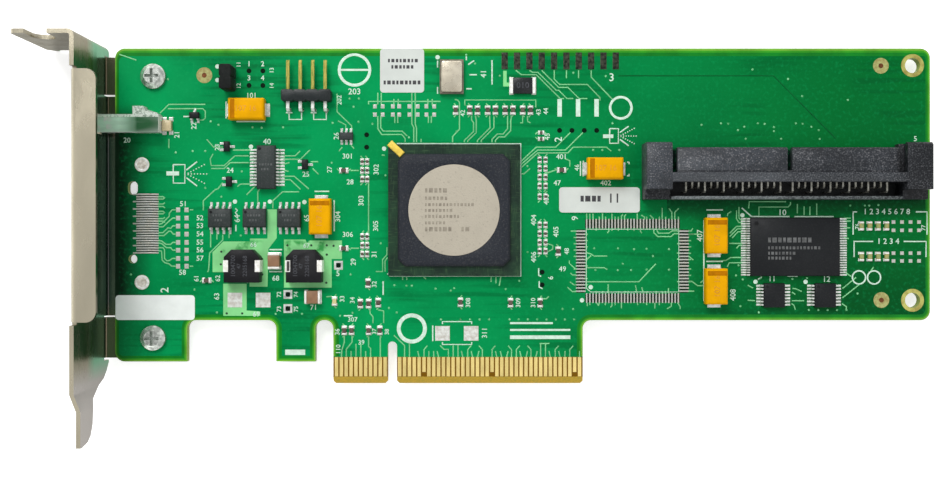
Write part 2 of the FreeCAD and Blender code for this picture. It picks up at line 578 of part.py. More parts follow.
def light_pipe():
    """Clear bar from the indicator to the bracket, with a foot on the board and a side lug."""
    body = new_body("light_pipe")
    side = new_sketch(body, "pipe_side", "XZ_Plane", "-(pipe_y + pipe_width / 2)")
    outline(side, [("pipe_end", "pipe_low"), ("pipe_step_x", "pipe_low"),
                   ("pipe_step_x + pipe_step_run", TOP), ("pipe_start", TOP), ("pipe_start", "pipe_high"),
                   ("pipe_end", "pipe_high")])
    pad(body, "pipe_bar", side, "pipe_width")
    lug = new_sketch(body, "lug_plan", "XY_Plane", TOP)
    edge = "pipe_y + pipe_width / 2"
    outline(lug, [("pipe_foot_left", edge), ("pipe_foot_right", edge),
                  ("pipe_foot_right", f"{edge} + pipe_foot_width * 0.2"),
                  ("pipe_foot_mid", f"{edge} + pipe_foot_width * 0.7"),
                  ("pipe_foot_mid", f"{edge} + pipe_foot_width"),
                  ("pipe_foot_left", f"{edge} + pipe_foot_width")])
    pad(body, "side_lug", lug, f"pipe_foot_high - ({TOP})")
    return body


def indicator():
    """The lamp at the inner end of the light pipe and its four solder terminals."""
    centre = ("pipe_start + lamp_length / 2 + 0.05", "pipe_y - 0.25")
    lens = centred_block("indicator_lamp", centre, TOP, ("lamp_length", "lamp_width", f"lamp_high - ({TOP})"))
    lens.Label = "indicator_lamp"
    feet = []
    for end in ("-", "+"):
        for side in ("-", "+"):
            middle = (f"{centre[0]} {side} (lamp_length / 2 - lamp_pad / 2)",
                      f"{centre[1]} {end} (lamp_width + lamp_pad) / 2")
            feet.append(centred_block(f"lamp_foot_{len(feet)}", middle, TOP,
                                      ("lamp_pad", "lamp_pad", "lamp_pad / 2")))
    return [lens, compound("indicator_terminals", feet)]


# ---------------------------------------------------------------- controller package

def controller_substrate():
    body = new_body("controller_substrate")
    plan = new_sketch(body, "substrate_plan", "XY_Plane", f"{TOP} + ball_high")
    half = "substrate_side / 2"
    rectangle(plan, f"chip_x - {half}", f"chip_x + {half}", f"chip_y - {half}", f"chip_y + {half}")
    pad(body, "substrate_sheet", plan, "substrate_thick")
    return body


def controller_balls():
    """The outer row of solder balls, each a short square post that seats the package on the board."""
    half = "(balls_on_side - 1) / 2 * ball_pitch"
    count = int(value("balls_on_side"))
    places = []
    for number in range(count - 1):
        step = f"{number} * ball_pitch"
        places += [(f"-{half} + {step}", f"-{half}"), (half, f"-{half} + {step}"),
                   (f"{half} - {step}", half), (f"-{half}", f"{half} - {step}")]
    balls = []
    for across, up in places:
        ball = doc.addObject("Part::Prism", f"ball_{len(balls)}")
        ball.Polygon = 4
        ball.setExpression("Circumradius", bound("ball_radius"))
        ball.setExpression("Height", bound("ball_high"))
        for axis, text in zip("xyz", (f"chip_x + {across}", f"chip_y + {up}", TOP)):
            ball.setExpression(f"Placement.Base.{axis}", bound(text))
        balls.append(ball)
    return compound("controller_balls", balls)


def controller_mould():
    """The black moulded cap: a drafted square with cut corners and a shallow seat for the heat slug."""
    body = new_body("controller_mould")
    level = f"{TOP} + ball_high + substrate_thick"
    plan = new_sketch(body, "mould_plan", "XY_Plane", level)
    half = "mould_side / 2"
    rectangle(plan, f"chip_x - {half}", f"chip_x + {half}", f"chip_y - {half}", f"chip_y + {half}")
    pad(body, "mould_block", plan, "mould_thick")
    dress("Chamfer", body, "mould_corners", "Z", [
        (f"chip_x {a} {half}", f"chip_y {b} {half}") for a in "+-" for b in "+-"], "mould_corner / 2")
    base = body.Tip
    roof = value(level) + value("mould_thick")
    rim = [f"Edge{number}" for number, edge in enumerate(base.Shape.Edges, start=1)
           if all(abs(vertex.Z - roof) < 1e-6 for vertex in edge.Vertexes)]
    slope = body.newObject("PartDesign::Chamfer", "mould_slope")
    slope.Base = (base, rim)
    slope.setExpression("Size", bound("mould_draft"))
    doc.recompute()
    seat = new_sketch(body, "slug_seat_plan", "XY_Plane", f"{level} + mould_thick")
    circle(seat, "chip_x", "chip_y", "slug_radius")
    pocket(body, "slug_seat", seat, "slug_thick / 2")
    return body


def controller_heat_slug():
    """The pale metal disc let into the top of the mould."""
    level = f"{TOP} + ball_high + substrate_thick + mould_thick - slug_thick / 2"
    slug = round_post("controller_heat_slug", ("chip_x", "chip_y"), level, "slug_radius", "slug_thick")
    slug.Label = "controller_heat_slug"
    return slug


# ---------------------------------------------------------------- drive port

def drive_port_housing():
    """Right-angle moulded housing: two grooved guide arms, a rear wall, a keyed tongue and a contact well."""
    body = new_body("drive_port_housing")
    left_arm, right_arm = "port_left + arm_width", "port_right - arm_width"
    plan = new_sketch(body, "wall_plan", "XY_Plane", TOP)
    outline(plan, [
        ("port_left", "arm_back"), (left_arm, "arm_back"), (left_arm, "wall_back"), (right_arm, "wall_back"),
        (right_arm, "arm_back"), ("port_right", "arm_back"), ("port_right", "arm_front"),
        (right_arm, "arm_front"), (right_arm, "wall_front"), (left_arm, "wall_front"),
        (left_arm, "arm_front"),
        ("port_left", "arm_front")])
    pad(body, "arms_and_wall", plan, f"port_high - ({TOP})")
    dress("Chamfer", body, "arm_lead_in", "X", [("arm_front", "port_high")], "arm_bevel")
    steps = new_sketch(body, "step_plan", "XY_Plane", TOP)
    rectangle(steps, "port_left", left_arm, "step_back", "arm_back")
    rectangle(steps, right_arm, "port_right", "step_back", "arm_back")
    pad(body, "rear_steps", steps, f"step_high - ({TOP})")
    rail = new_sketch(body, "rail_plan", "XY_Plane", TOP)
    rectangle(rail, left_arm, right_arm, "step_back", "step_back + rail_thick")
    pad(body, "rear_rail", rail, f"rail_high - ({TOP})")
    blade = new_sketch(body, "tongue_plan", "XY_Plane", "blade_low")
    key_right = "port_key_left + port_key_width"
    outline(blade, [
        ("tongue_left", "wall_front"), ("tongue_right", "wall_front"), ("tongue_right", "tongue_front"),
        (key_right, "tongue_front"), (key_right, "wall_front + key_land"),
        ("port_key_left", "wall_front + key_land"),
        ("port_key_left", "tongue_front"), ("tongue_left", "tongue_front")])
    pad(body, "keyed_tongue", blade, "blade_high - blade_low")
    dress("Chamfer", body, "tongue_lead_in", "X", [
        ("tongue_front", "blade_high"), ("tongue_front", "blade_low")], "blade_bevel")
    grooves = new_sketch(body, "groove_profile", "XZ_Plane", "-arm_front")
    rectangle(grooves, f"{left_arm} - groove_depth", f"{left_arm} + 0.01", "groove_low", "groove_high")
    rectangle(grooves, f"{right_arm} - 0.01", f"{right_arm} + groove_depth", "groove_low", "groove_high")
    pocket(body, "guide_grooves", grooves, "arm_front - wall_front", back=True)
    for bank in ("left", "right"):
        slit = new_sketch(body, f"{bank}_slit_plan", "XZ_Plane", "-wall_front")
        rectangle(slit, f"bank_{bank}_x - contact_width / 2", f"bank_{bank}_x + contact_width / 2",
                  "blade_low - contact_thick", "blade_low")
        first = pocket(body, f"{bank}_slit", slit, "wall_front - wall_back", back=True)
        row_pattern(body, f"{bank}_slits", first, "X_Axis", "contact_pitch", "contacts_a_bank")
    return body


def port_contact(across, drop):
    """One contact: flat under the tongue, through its slit, then bent down to a foot on the board."""
    high, thick = value("blade_low"), value("contact_thick")
    floor, foot = value(TOP), value("contact_foot")
    front, width = value("contact_front"), value("contact_width")
    side = [(front, high), (drop, high), (drop - 0.35, high - 0.35), (drop - 0.35, floor + thick),
            (drop - 0.35 - foot, floor + thick), (drop - 0.35 - foot, floor), (drop - 0.35 + thick, floor),
            (drop - 0.35 + thick, high - 0.45), (drop + 0.1, high - thick), (front, high - thick)]
    points = [Vector(across - width / 2, along, up) for along, up in side]
    return Part.Face(Part.makePolygon(points + points[:1])).extrude(Vector(width, 0, 0))


def drive_port_contacts():
    """Two banks of sixteen contacts; every third one reaches further back before it turns down."""
    contacts = []
    for bank in ("bank_left_x", "bank_right_x"):
        for number in range(int(value("contacts_a_bank"))):
            drop = value("contact_far") if number % 3 == 0 else value("contact_near")
            contacts.append(port_contact(value(bank) + number * value("contact_pitch"), drop))
    return free_group("drive_port_contacts", contacts)


def drive_port_hold_downs():
    """Tinned posts that hold the port to the board, one under each guide arm."""
    posts = []
    for word, place in (("left", "port_left + hold_down_inset"), ("right", "port_right - hold_down_inset")):
        posts.append(round_post(f"hold_down_{word}", (place, "hold_down_y"), "hold_down_end",
                                "hold_down_radius", f"{TOP} - hold_down_end"))
    return compound("drive_port_hold_downs", posts)


# ---------------------------------------------------------------- leaded chips

def moulded_body(length, width, low, high):
    """A moulded package centred on the origin: widest at the parting line, drafted above and below."""
    draft = 0.12 * (high - low)
    parting = (low + high) / 2
    rings = []
    for level, inset in ((low, draft), (parting, 0.0), (high, draft)):
        x, y = length / 2 - inset, width / 2 - inset
        ring = [Vector(-x, -y, level), Vector(x, -y, level), Vector(x, y, level), Vector(-x, y, level)]
        rings.append(Part.makePolygon(ring + ring[:1]))
    return Part.makeLoft(rings, True, True)


def gull_lead(start, reach, level, width, floor):
    """A gull-wing lead that leaves the body at a level in +X and comes down to a flat foot on the board."""
    thick = 0.14
    knee = start + reach * 0.35
    heel = start + reach * 0.55
    end = start + reach
    side = [(start, level), (start, level + thick), (knee + thick / 2, level + thick),
            (heel + thick / 2, floor + thick), (end, floor + thick), (end, floor), (heel - thick / 2, floor),
            (knee - thick / 2, level)]
    points = [Vector(across, -width / 2, up) for across, up in side]
    return Part.Face(Part.makePolygon(points + points[:1])).extrude(Vector(0, width, 0))


def lead_rows(length, reach, level, width, pitch, count, floor):
    """Two facing rows of gull-wing leads for a body whose leads leave along X."""
    lead = gull_lead(length / 2 - 0.02, reach, level, width, floor)
    rows = []
    for turn in (0, 180):
        for number in range(count):
            offset = (number - (count - 1) / 2) * pitch
            copy = lead.copy()
            copy.translate(Vector(0, offset, 0))
            copy.rotate(Vector(), Vector(0, 0, 1), turn)
            rows.append(copy)
    return rows


def placed(shape, across, up, turn=0):
    copy = shape.copy()
    move = Placement(Vector(across, up, 0), Rotation(Vector(0, 0, 1), turn))
    copy.Placement = move.multiply(copy.Placement)
    return copy


def leaded_chips(name, places, length, width, top, reach, pitch, count, lead_width, lift=0.1):
    """Bodies and leads of like chips as two nodes; places are X, Y and turn."""
    floor = value(TOP)
    low, high = floor + lift, floor + top
    body = moulded_body(length, width, low, high)
    leads = lead_rows(length, reach, (low + high) / 2 - 0.07, lead_width, pitch, count, floor)
    bodies = [placed(body, *place) for place in places]
    rows = [placed(lead, *place) for place in places for lead in leads]
    return [free_group(f"{name}_body" if len(places) == 1 else f"{name}_bodies", bodies),
            free_group(f"{name}_leads", rows)]


def transistor_pieces():
    """Small three-lead transistors: two leads on one side and one on the other."""
    floor = value(TOP)
    length, width = value("transistor_length"), value("transistor_width")
    body = moulded_body(length, width, floor + 0.1, floor + value("small_high"))
    lead = gull_lead(length / 2 - 0.02, value("small_reach"), floor + 0.45, value("wide_lead_width"), floor)
    leads = [placed(lead, 0, 0)]
    for side in (-1, 1):
        turned = placed(lead, 0, 0, 180)
        turned.translate(Vector(0, side * 0.65, 0))
        leads.append(turned)
    bodies = [placed(body, *place) for place in TRANSISTORS]
    rows = [placed(item, *place) for place in TRANSISTORS for item in leads]
    return [free_group("transistor_bodies", bodies), free_group("transistor_leads", rows)]


def chips():
    """All leaded chips of the board."""
    regulators = [(value(f"regulator_first_x + {number} * regulator_step"), value("regulator_y"), 90)
                  for number in range(3)]
    logic = [(value(f"logic_first_x + {number} * logic_step"), value("logic_y"), 0) for number in range(2)]
    flash = leaded_chips("flash_chip", [(value("flash_x"), value("flash_y"), 0)], value("flash_length"),
                         value("flash_width"), value("flash_high"), value("flash_reach") + 0.6,
                         value("flash_pitch"), int(value("flash_leads")), value("flash_lead_width"))
    driver = leaded_chips("driver_chip", [(value("driver_x"), value("driver_y"), 0)], value("driver_length"),
                          value("driver_width"), value("driver_high"), value("driver_reach"),
                          value("narrow_pitch"), int(value("driver_leads")), value("narrow_lead_width"))
    gates = leaded_chips("logic_chip", logic, value("logic_length"), value("logic_width"),
                         value("logic_high"), value("logic_reach"), value("narrow_pitch"),
                         int(value("logic_leads")), value("narrow_lead_width"))
    power = leaded_chips("regulator", regulators, value("regulator_length"), value("regulator_width"),
                         value("regulator_high"), value("regulator_reach"), value("wide_pitch"), 4,
                         value("wide_lead_width"))
    switch = leaded_chips("switch_chip", [(value("switch_x"), value("switch_y"), 90)], value("switch_length"),
                          value("switch_width"), value("small_high"), value("small_reach"),
                          value("switch_pitch"), 3, value("wide_lead_width"))
    return flash + driver + gates + power + switch + transistor_pieces()


# ---------------------------------------------------------------- passives

def tantalum_capacitors():
    """Moulded capacitors with a bevelled roof, each held by two folded terminals."""
    floor = value(TOP)
    length, width = value("tantalum_length"), value("tantalum_width")
    high, lift = value("tantalum_high"), value("tantalum_lift")
    body = Part.makeBox(length, width, high - lift, Vector(-length / 2, -width / 2, floor + lift))
    roof = [edge for edge in body.Edges
            if all(abs(vertex.Z - floor - high) < 1e-6 for vertex in edge.Vertexes)]
    body = body.makeChamfer(value("tantalum_bevel"), roof)
    half, reach, thick = value("tantalum_pad_width") / 2, value("tantalum_pad_reach"), value("terminal_thick")
    start = length / 2
    heel, rise = start - value("tantalum_foot"), floor + value("terminal_rise")
    side = [(heel, floor), (start + thick, floor), (start + thick, rise), (start, rise),
            (start, floor + lift), (heel, floor + lift)]
    points = [Vector(across, -half, up) for across, up in side]
    terminal = Part.Face(Part.makePolygon(points + points[:1])).extrude(Vector(0, 2 * half, 0))
    pads = Part.makeBox(reach, 2 * half, thick, Vector(start + thick, -half, floor))
    terminal = terminal.fuse(pads).removeSplitter()
    bodies = [placed(body, *place) for place in TANTALUMS]
    ends = [placed(placed(terminal, 0, 0, turn), *place) for place in TANTALUMS for turn in (0, 180)]
    return [free_group("tantalum_bodies", bodies), free_group("tantalum_terminals", ends)]


def power_inductors():
    """Black shielded inductors with cut corners and flat terminals wrapped at two sides."""
    floor = value(TOP)
    length, width, high = value("inductor_length"), value("inductor_width"), value("inductor_high")
    corner = value("inductor_corner")
    tab_width, tab_length = value("inductor_terminal_width"), value("inductor_terminal_length")
    thick = value("terminal_thick")
    body = Part.makeBox(length, width, high - thick, Vector(-length / 2, -width / 2, floor + thick))
    posts = [edge for edge in body.Edges
             if abs(edge.Vertexes[0].Z - edge.Vertexes[1].Z) > 1 and edge.Vertexes[0].Y > 0]
    body = body.makeChamfer(corner, posts)
    for sign in (-1, 1):
        well = Part.makeBox(tab_length, tab_width, thick, Vector(0, -tab_width / 2, floor + high - thick))
        well.translate(Vector(sign * (length / 2 - tab_length / 2) - tab_length / 2, 0, 0))
        body = body.cut(well)
    start = length / 2
    heel = start - value("inductor_foot")
    side = [(start, floor + high), (start + thick, floor + high), (start + thick, floor), (heel, floor),
            (heel, floor + thick), (start, floor + thick)]
    points = [Vector(across, -tab_width / 2, up) for across, up in side]
    terminal = Part.Face(Part.makePolygon(points + points[:1])).extrude(Vector(0, tab_width, 0))
    crest = Part.makeBox(tab_length, tab_width, thick,
                         Vector(start - tab_length, -tab_width / 2, floor + high - thick))
    terminal = terminal.fuse(crest).removeSplitter()
    places = [(value(f"inductor_first_x + {number} * inductor_step"), value("inductor_y"), 0)
              for number in range(2)]
    bodies = [placed(body, *place) for place in places]
    ends = [placed(placed(terminal, 0, 0, turn), *place) for place in places for turn in (0, 180)]
    return [free_group("inductor_bodies", bodies), free_group("inductor_terminals", ends)]


def capped_part(length, width, high, cap):
    """An end-capped chip along X: its bare middle and its two plated ends, which meet face to face."""
    floor = value(TOP)
    middle = Part.makeBox(length - 2 * cap, width, high, Vector(-length / 2 + cap, -width / 2, floor))
    ends = [Part.makeBox(cap, width, high, Vector(start, -width / 2, floor))
            for start in (-length / 2, length / 2 - cap)]
    return middle, ends


def sense_resistor():
    size = [value(f"sense_{word}") for word in ("length", "width", "high", "cap")]
    middle, ends = capped_part(*size)
    place = (value("sense_x"), value("sense_y"))
    return [free_group("sense_resistor_body", [placed(middle, *place)]),
            free_group("sense_resistor_ends", [placed(end, *place) for end in ends])]


def ceramic_capacitors():
    """Two brown ceramic capacitors and their end caps."""
    bodies, caps = [], []
    for across, up, turn, length, width in CERAMICS:
        middle, ends = capped_part(length, width, value("ceramic_high"), 0.45)
        bodies.append(placed(middle, across, up, turn))
        caps += [placed(end, across, up, turn) for end in ends]
    return [free_group("ceramic_bodies", bodies), free_group("ceramic_end_caps", caps)]


def small_part_places():
    """Where the small chip parts sit, by size: columns beside the controller, a row above it and odd ones."""
    small = [(x, 56.2, 90) for x in (15.9, 17.5, 19.6, 21.2, 23.2, 24.8, 26.8, 28.4)]
    small += [(-10.0, 43.8, 0), (-10.0, 27.8, 0), (34.8, 43.9, 0), (14.0, 16.7, 90), (24.3, 16.6, 90),
              (30.4, 16.6, 90), (-5.0, 20.6, 90), (-8.4, 10.9, 90), (-4.9, 10.9, 90), (-2.6, 10.9, 90),
              (-9.9, 10.9, 90), (-6.6, 16.4, 90), (-4.9, 16.4, 90), (-2.9, 16.6, 90), (34.1, 27.2, 90)]
    small += [(13.0, 56.2, 90), (-38.2, 21.2, 0), (-11.9, 16.9, 90)]
    tiny = [(x, y, 90) for x in (-6.2, -5.2) for y in (45.6, 43.8, 42.0, 30.2, 28.4, 26.6)]
    tiny += [(x, y, 90) for x in (30.3, 31.5) for y in (46.0, 44.2, 42.4, 40.6, 38.4, 32.6, 30.8, 29.0, 27.2)]
    tiny += [(30.6, 51.6, 0), (30.6, 50.3, 0)]
    return small, tiny


def small_chip_parts():
    """The small resistors and capacitors, one node of middles and one of end caps."""
    small, tiny = small_part_places()
    bodies, caps = [], []
    for word, places in (("chip", small), ("tiny", tiny)):
        size = [value(f"{word}_{part}") for part in ("length", "width", "high", "cap")]
        middle, ends = capped_part(*size)
        bodies += [placed(middle, *place) for place in places]
        caps += [placed(end, *place) for place in places for end in ends]
    return [free_group("chip_part_bodies", bodies), free_group("chip_part_end_caps", caps)]


def status_lamps():
    """Two rows of four small lamps near the rear corner."""
    size = [value(f"status_{word}") for word in ("length", "width", "high", "cap")]
    middle, ends = capped_part(*size)
    lenses, caps = [], []
    for level in ("status_high_y", "status_low_y"):
        for number in range(int(value("status_count"))):
            place = (value(f"status_first_x + {number} * status_step"), value(level), 90)
            lenses.append(placed(middle, *place))
            caps += [placed(end, *place) for end in ends]
    return [free_group("status_lamp_lenses", lenses), free_group("status_lamp_ends", caps)]


def bare_power_pads():
    """Four bare tinned pads left for larger parts that are not fitted."""
    pads = [centred_block(f"power_pad_{number}", (str(across), str(up)), TOP,
                          ("power_pad_side", "power_pad_side", "power_pad_thick"))
            for number, (across, up) in enumerate(POWER_PADS)]
    return compound("bare_power_pads", pads)


# ---------------------------------------------------------------- oscillator and headers

def oscillator():
    """A dark ceramic base with a tan metal can."""
    middle = ("oscillator_x", "oscillator_y")
    base = centred_block("oscillator_base", middle, TOP,
                         ("oscillator_width", "oscillator_length", "oscillator_base"))
    base.Label = "oscillator_base"
    body = new_body("oscillator_can")
    plan = new_sketch(body, "can_plan", "XY_Plane", f"{TOP} + oscillator_base")
    half_x, half_y = "(oscillator_width / 2 - oscillator_rim)", "(oscillator_length / 2 - oscillator_rim)"
    rectangle(plan, f"oscillator_x - {half_x}", f"oscillator_x + {half_x}", f"oscillator_y - {half_y}",
              f"oscillator_y + {half_y}")
    pad(body, "can_block", plan, "oscillator_high - oscillator_base")
    dress("Fillet", body, "can_corners", "Z", [
        (f"oscillator_x {a} {half_x}", f"oscillator_y {b} {half_y}") for a in "+-" for b in "+-"], "0.5")
    return [base, body]


def led_header():
    """A four-pin right-angle header: square pins through a black body, bent down through the board."""
    body = new_body("led_header_body")
    plan = new_sketch(body, "led_header_plan", "XY_Plane", TOP)
    half, last = "header_pitch / 2", "led_header_pins * header_pitch"
    left = f"led_header_x - {half}"
    back, front = "led_header_back", "led_header_front"
    places = [f"{left} + {number} * header_pitch" for number in range(int(value("led_header_pins")))]
    corners = []
    for start in places:
        corners += [(f"{start} + header_notch", back), (f"{start} + header_pitch - header_notch", back),
                    (f"{start} + header_pitch", f"{back} + header_notch")]
    corners.append((f"{left} + {last}", f"{front} - header_notch"))
    for start in reversed(places):
        corners += [(f"{start} + header_pitch - header_notch", front), (f"{start} + header_notch", front),
                    (start, f"{front} - header_notch")]
    corners.append((left, f"{back} + header_notch"))
    outline(plan, corners)
    pad(body, "led_header_block", plan, f"led_header_high - {TOP}")
    bores = new_sketch(body, "led_header_bores_plan", "XZ_Plane", "-led_header_front")
    across = "pin_width / 2"
    rectangle(bores, f"led_header_x - {across}", f"led_header_x + {across}", f"led_pin_level - {across}",
              f"led_pin_level + {across}")
    bore = pocket(body, "led_header_bore", bores)
    row_pattern(body, "led_header_bores", bore, "X_Axis", "header_pitch", "led_header_pins")
    return body


def bent_pin(across):
    """A square pin lying along Y at the header's level and turned down through the board."""
    half = value("pin_width / 2")
    level, bend = value("led_pin_level"), value("led_pin_bend")
    tip, end = value("led_pin_tip"), value("pin_end")
    side = [(tip - 0.5, level + half), (bend + 0.2, level + half), (bend - half, level + half - 0.5),
            (bend - half, end + 0.3), (bend, end), (bend + half, end + 0.3), (bend + half, level - half),
            (tip - 0.5, level - half), (tip, level)]
    points = [Vector(across - half, along, up) for along, up in side]
    return Part.Face(Part.makePolygon(points + points[:1])).extrude(Vector(2 * half, 0, 0))


def led_header_pins():
    pins = [bent_pin(value(f"led_header_x + {number} * header_pitch"))
            for number in range(int(value("led_header_pins")))]
    return free_group("led_header_pins", pins)


def jumper_header():
    """An upright two-pin header with a black base, square pins and a removable link cap."""
    half = "header_pitch / 2"
    pins = [centred_block(f"jumper_pin_{number}", ("jumper_x", f"jumper_y {sign} {half}"), "pin_end",
                          ("pin_width", "pin_width", "jumper_pin_high - pin_end"))
            for number, sign in enumerate("-+")]
    reach, core, notch = "header_pitch - 0.05", "pin_width / 2", "header_notch"
    left, right = "jumper_x - jumper_width / 2", "jumper_x + jumper_width / 2"
    foot, head = f"jumper_y - ({reach})", f"jumper_y + {reach}"
    waisted = [(left, f"{foot} + {notch}"), (f"{left} + {notch}", foot), (f"{right} - {notch}", foot),
               (right, f"{foot} + {notch}"), (right, f"jumper_y - {notch}"),
               (f"{right} - {notch}", "jumper_y"), (right, f"jumper_y + {notch}"),
               (right, f"{head} - {notch}"), (f"{right} - {notch}", head),
               (f"{left} + {notch}", head), (left, f"{head} - {notch}"), (left, f"jumper_y + {notch}"),
               (f"{left} + {notch}", "jumper_y"), (left, f"jumper_y - {notch}")]
    seat = f"{TOP} + jumper_base"
    solids = []
    for name, level, top, bore in (("jumper_base", TOP, seat, seat),
                                   ("jumper_cap", seat, "jumper_cap_high", "jumper_pin_high")):
        body = new_body(name)
        plan = new_sketch(body, f"{name}_plan", "XY_Plane", level)
        outline(plan, waisted)
        pad(body, f"{name}_block", plan, f"{top} - ({level})")
        bores = new_sketch(body, f"{name}_bores_plan", "XY_Plane", level)
        for sign in "-+":
            rectangle(bores, f"jumper_x - {core}", f"jumper_x + {core}",
                      f"jumper_y {sign} {half} - {core}", f"jumper_y {sign} {half} + {core}")
        pocket(body, f"{name}_bores", bores, f"{bore} - ({level})", back=True)
        solids.append(body)
    return [*solids, compound("jumper_pins", pins)]


# ---------------------------------------------------------------- stickers

def sticker(label, word):
    """A thin rounded sticker lying on the board."""
    body = new_body(label)
    plan = new_sketch(body, f"{label}_plan", "XY_Plane", TOP)
    length = f"{word}_side" if word == "square_sticker" else f"{word}_length"
    width = f"{word}_side" if word == "square_sticker" else f"{word}_width"
    left, right = f"{word}_x - {length} / 2", f"{word}_x + {length} / 2"
    low, high = f"{word}_y - {width} / 2", f"{word}_y + {width} / 2"
    rectangle(plan, left, right, low, high)
    pad(body, f"{label}_sheet", plan, "sticker_thick")
    dress("Fillet", body, f"{label}_corners", "Z", [(a, b) for a in (left, right) for b in (low, high)],
          "sticker_corner")
    return body


# ---------------------------------------------------------------- build, check and write

def build():
    """Make every sub-part and return the document objects that become nodes."""
    fill_sheet()
    nodes = [circuit_board(), edge_contacts("edge_contacts_component_side", TOP),
             edge_contacts("edge_contacts_solder_side", f"{UNDER} - finger_thick"), mounting_hole_rings(),
             solder_plugs(), bracket(), bracket_screws(), light_pipe()]
    nodes += indicator()
    nodes += [controller_substrate(), controller_balls(), controller_mould(), controller_heat_slug()]
    nodes += [drive_port_housing(), drive_port_contacts(), drive_port_hold_downs()]
    nodes += chips()
    nodes += tantalum_capacitors() + power_inductors() + sense_resistor() + ceramic_capacitors()
    nodes += small_chip_parts() + status_lamps() + [bare_power_pads()]
    nodes += oscillator() + [led_header(), led_header_pins()] + jumper_header()
    nodes += [sticker("square_label", "square_sticker"), sticker("port_label", "port_sticker"),
              sticker("serial_label", "serial_sticker")]
    doc.recompute()
    return nodes


def check(nodes):
    """Stop on any failed object or bad shape before anything is written."""
    for item in doc.Objects:
        bad = [state for state in item.State if state in ("Invalid", "Error")]
        if bad:
            raise RuntimeError(f"{item.Name}: {bad}")
    for node in nodes:
        if node.Shape.isNull() or not node.Shape.isValid() or node.Shape.Volume <= 0:
            raise RuntimeError(f"{node.Label}: bad shape")


def write(nodes):
    os.makedirs("parts", exist_ok=True)
    for node in nodes:
        node.Shape.exportStep(f"parts/{node.Label}.step")
        box = node.Shape.BoundBox
        print(f"{node.Label:32s} solids {len(node.Shape.Solids):4d}  faces {len(node.Shape.Faces):5d}  "
              f"z {box.ZMin:6.2f} to {box.ZMax:6.2f}")


parts = build()
check(parts)
write(parts)
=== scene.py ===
"""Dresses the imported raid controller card: mask, copper, legend, pads, bracket, parts and a white stage.

Places are in millimetres in the card's own frame: the origin is the middle of the key notch on the insertion
edge, +X runs away from the bracket, +Y towards the top edge and +Z is the component side.
"""
import math
from functools import reduce
from typing import NamedTuple

import bpy
from bpy.props import FloatProperty, FloatVectorProperty, PointerProperty
from bpy.types import Operator, Panel, PropertyGroup
from mathutils import Matrix, Vector


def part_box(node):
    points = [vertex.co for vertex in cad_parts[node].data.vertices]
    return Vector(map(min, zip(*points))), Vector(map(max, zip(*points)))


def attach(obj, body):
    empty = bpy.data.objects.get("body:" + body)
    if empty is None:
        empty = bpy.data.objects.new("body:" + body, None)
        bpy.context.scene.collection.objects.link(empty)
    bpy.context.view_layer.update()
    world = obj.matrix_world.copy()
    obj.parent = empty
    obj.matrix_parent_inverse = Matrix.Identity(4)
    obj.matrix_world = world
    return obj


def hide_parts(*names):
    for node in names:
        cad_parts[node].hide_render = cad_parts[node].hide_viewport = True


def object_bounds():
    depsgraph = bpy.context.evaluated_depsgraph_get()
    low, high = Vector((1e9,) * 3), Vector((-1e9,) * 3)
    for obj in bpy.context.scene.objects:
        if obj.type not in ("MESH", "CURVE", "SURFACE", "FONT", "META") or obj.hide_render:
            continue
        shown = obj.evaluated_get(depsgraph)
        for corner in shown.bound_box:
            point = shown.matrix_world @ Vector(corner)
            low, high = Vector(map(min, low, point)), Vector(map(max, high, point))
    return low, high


bl_info = {
    "name": "Raid Controller Card Dressing",
    "version": (1, 0, 0),
    "blender": (4, 5, 0),
    "location": "View3D > Sidebar > Card",
    "description": "Builds the finishes and fine pieces of a low-profile raid controller card",
    "category": "Object",
}

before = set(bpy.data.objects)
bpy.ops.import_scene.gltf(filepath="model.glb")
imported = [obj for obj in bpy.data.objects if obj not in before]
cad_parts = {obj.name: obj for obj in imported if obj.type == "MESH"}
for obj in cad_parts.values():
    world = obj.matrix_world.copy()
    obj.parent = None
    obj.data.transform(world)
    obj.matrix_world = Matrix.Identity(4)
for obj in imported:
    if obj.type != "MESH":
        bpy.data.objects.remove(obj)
CAD_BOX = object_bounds()
MM = 0.001
BODY = "root"
BOARD_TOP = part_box("circuit_board")[1][2] / MM
FINGER_LEFT, FINGER_RIGHT = -12.15, 39.15
FINGER_HEAD = 5.45


def srgb(red, green, blue):
    """A display colour, 0 to 255 a channel, as the linear values that a shader takes."""
    shares = [channel / 255 for channel in (red, green, blue)]
    return tuple(share / 12.92 if share <= 0.04045 else ((share + 0.055) / 1.055) ** 2.4 for share in shares)


def colour(name, description, default):
    return FloatVectorProperty(name=name, description=description, subtype="COLOR", size=3, min=0.0, max=1.0,
                               default=srgb(*default))


def length(name, description, default):
    """A length property whose default is given in millimetres."""
    return FloatProperty(name=name, description=description, default=default * MM, min=0.0, precision=6,
                         subtype="DISTANCE", unit="LENGTH")


# ------------ settings

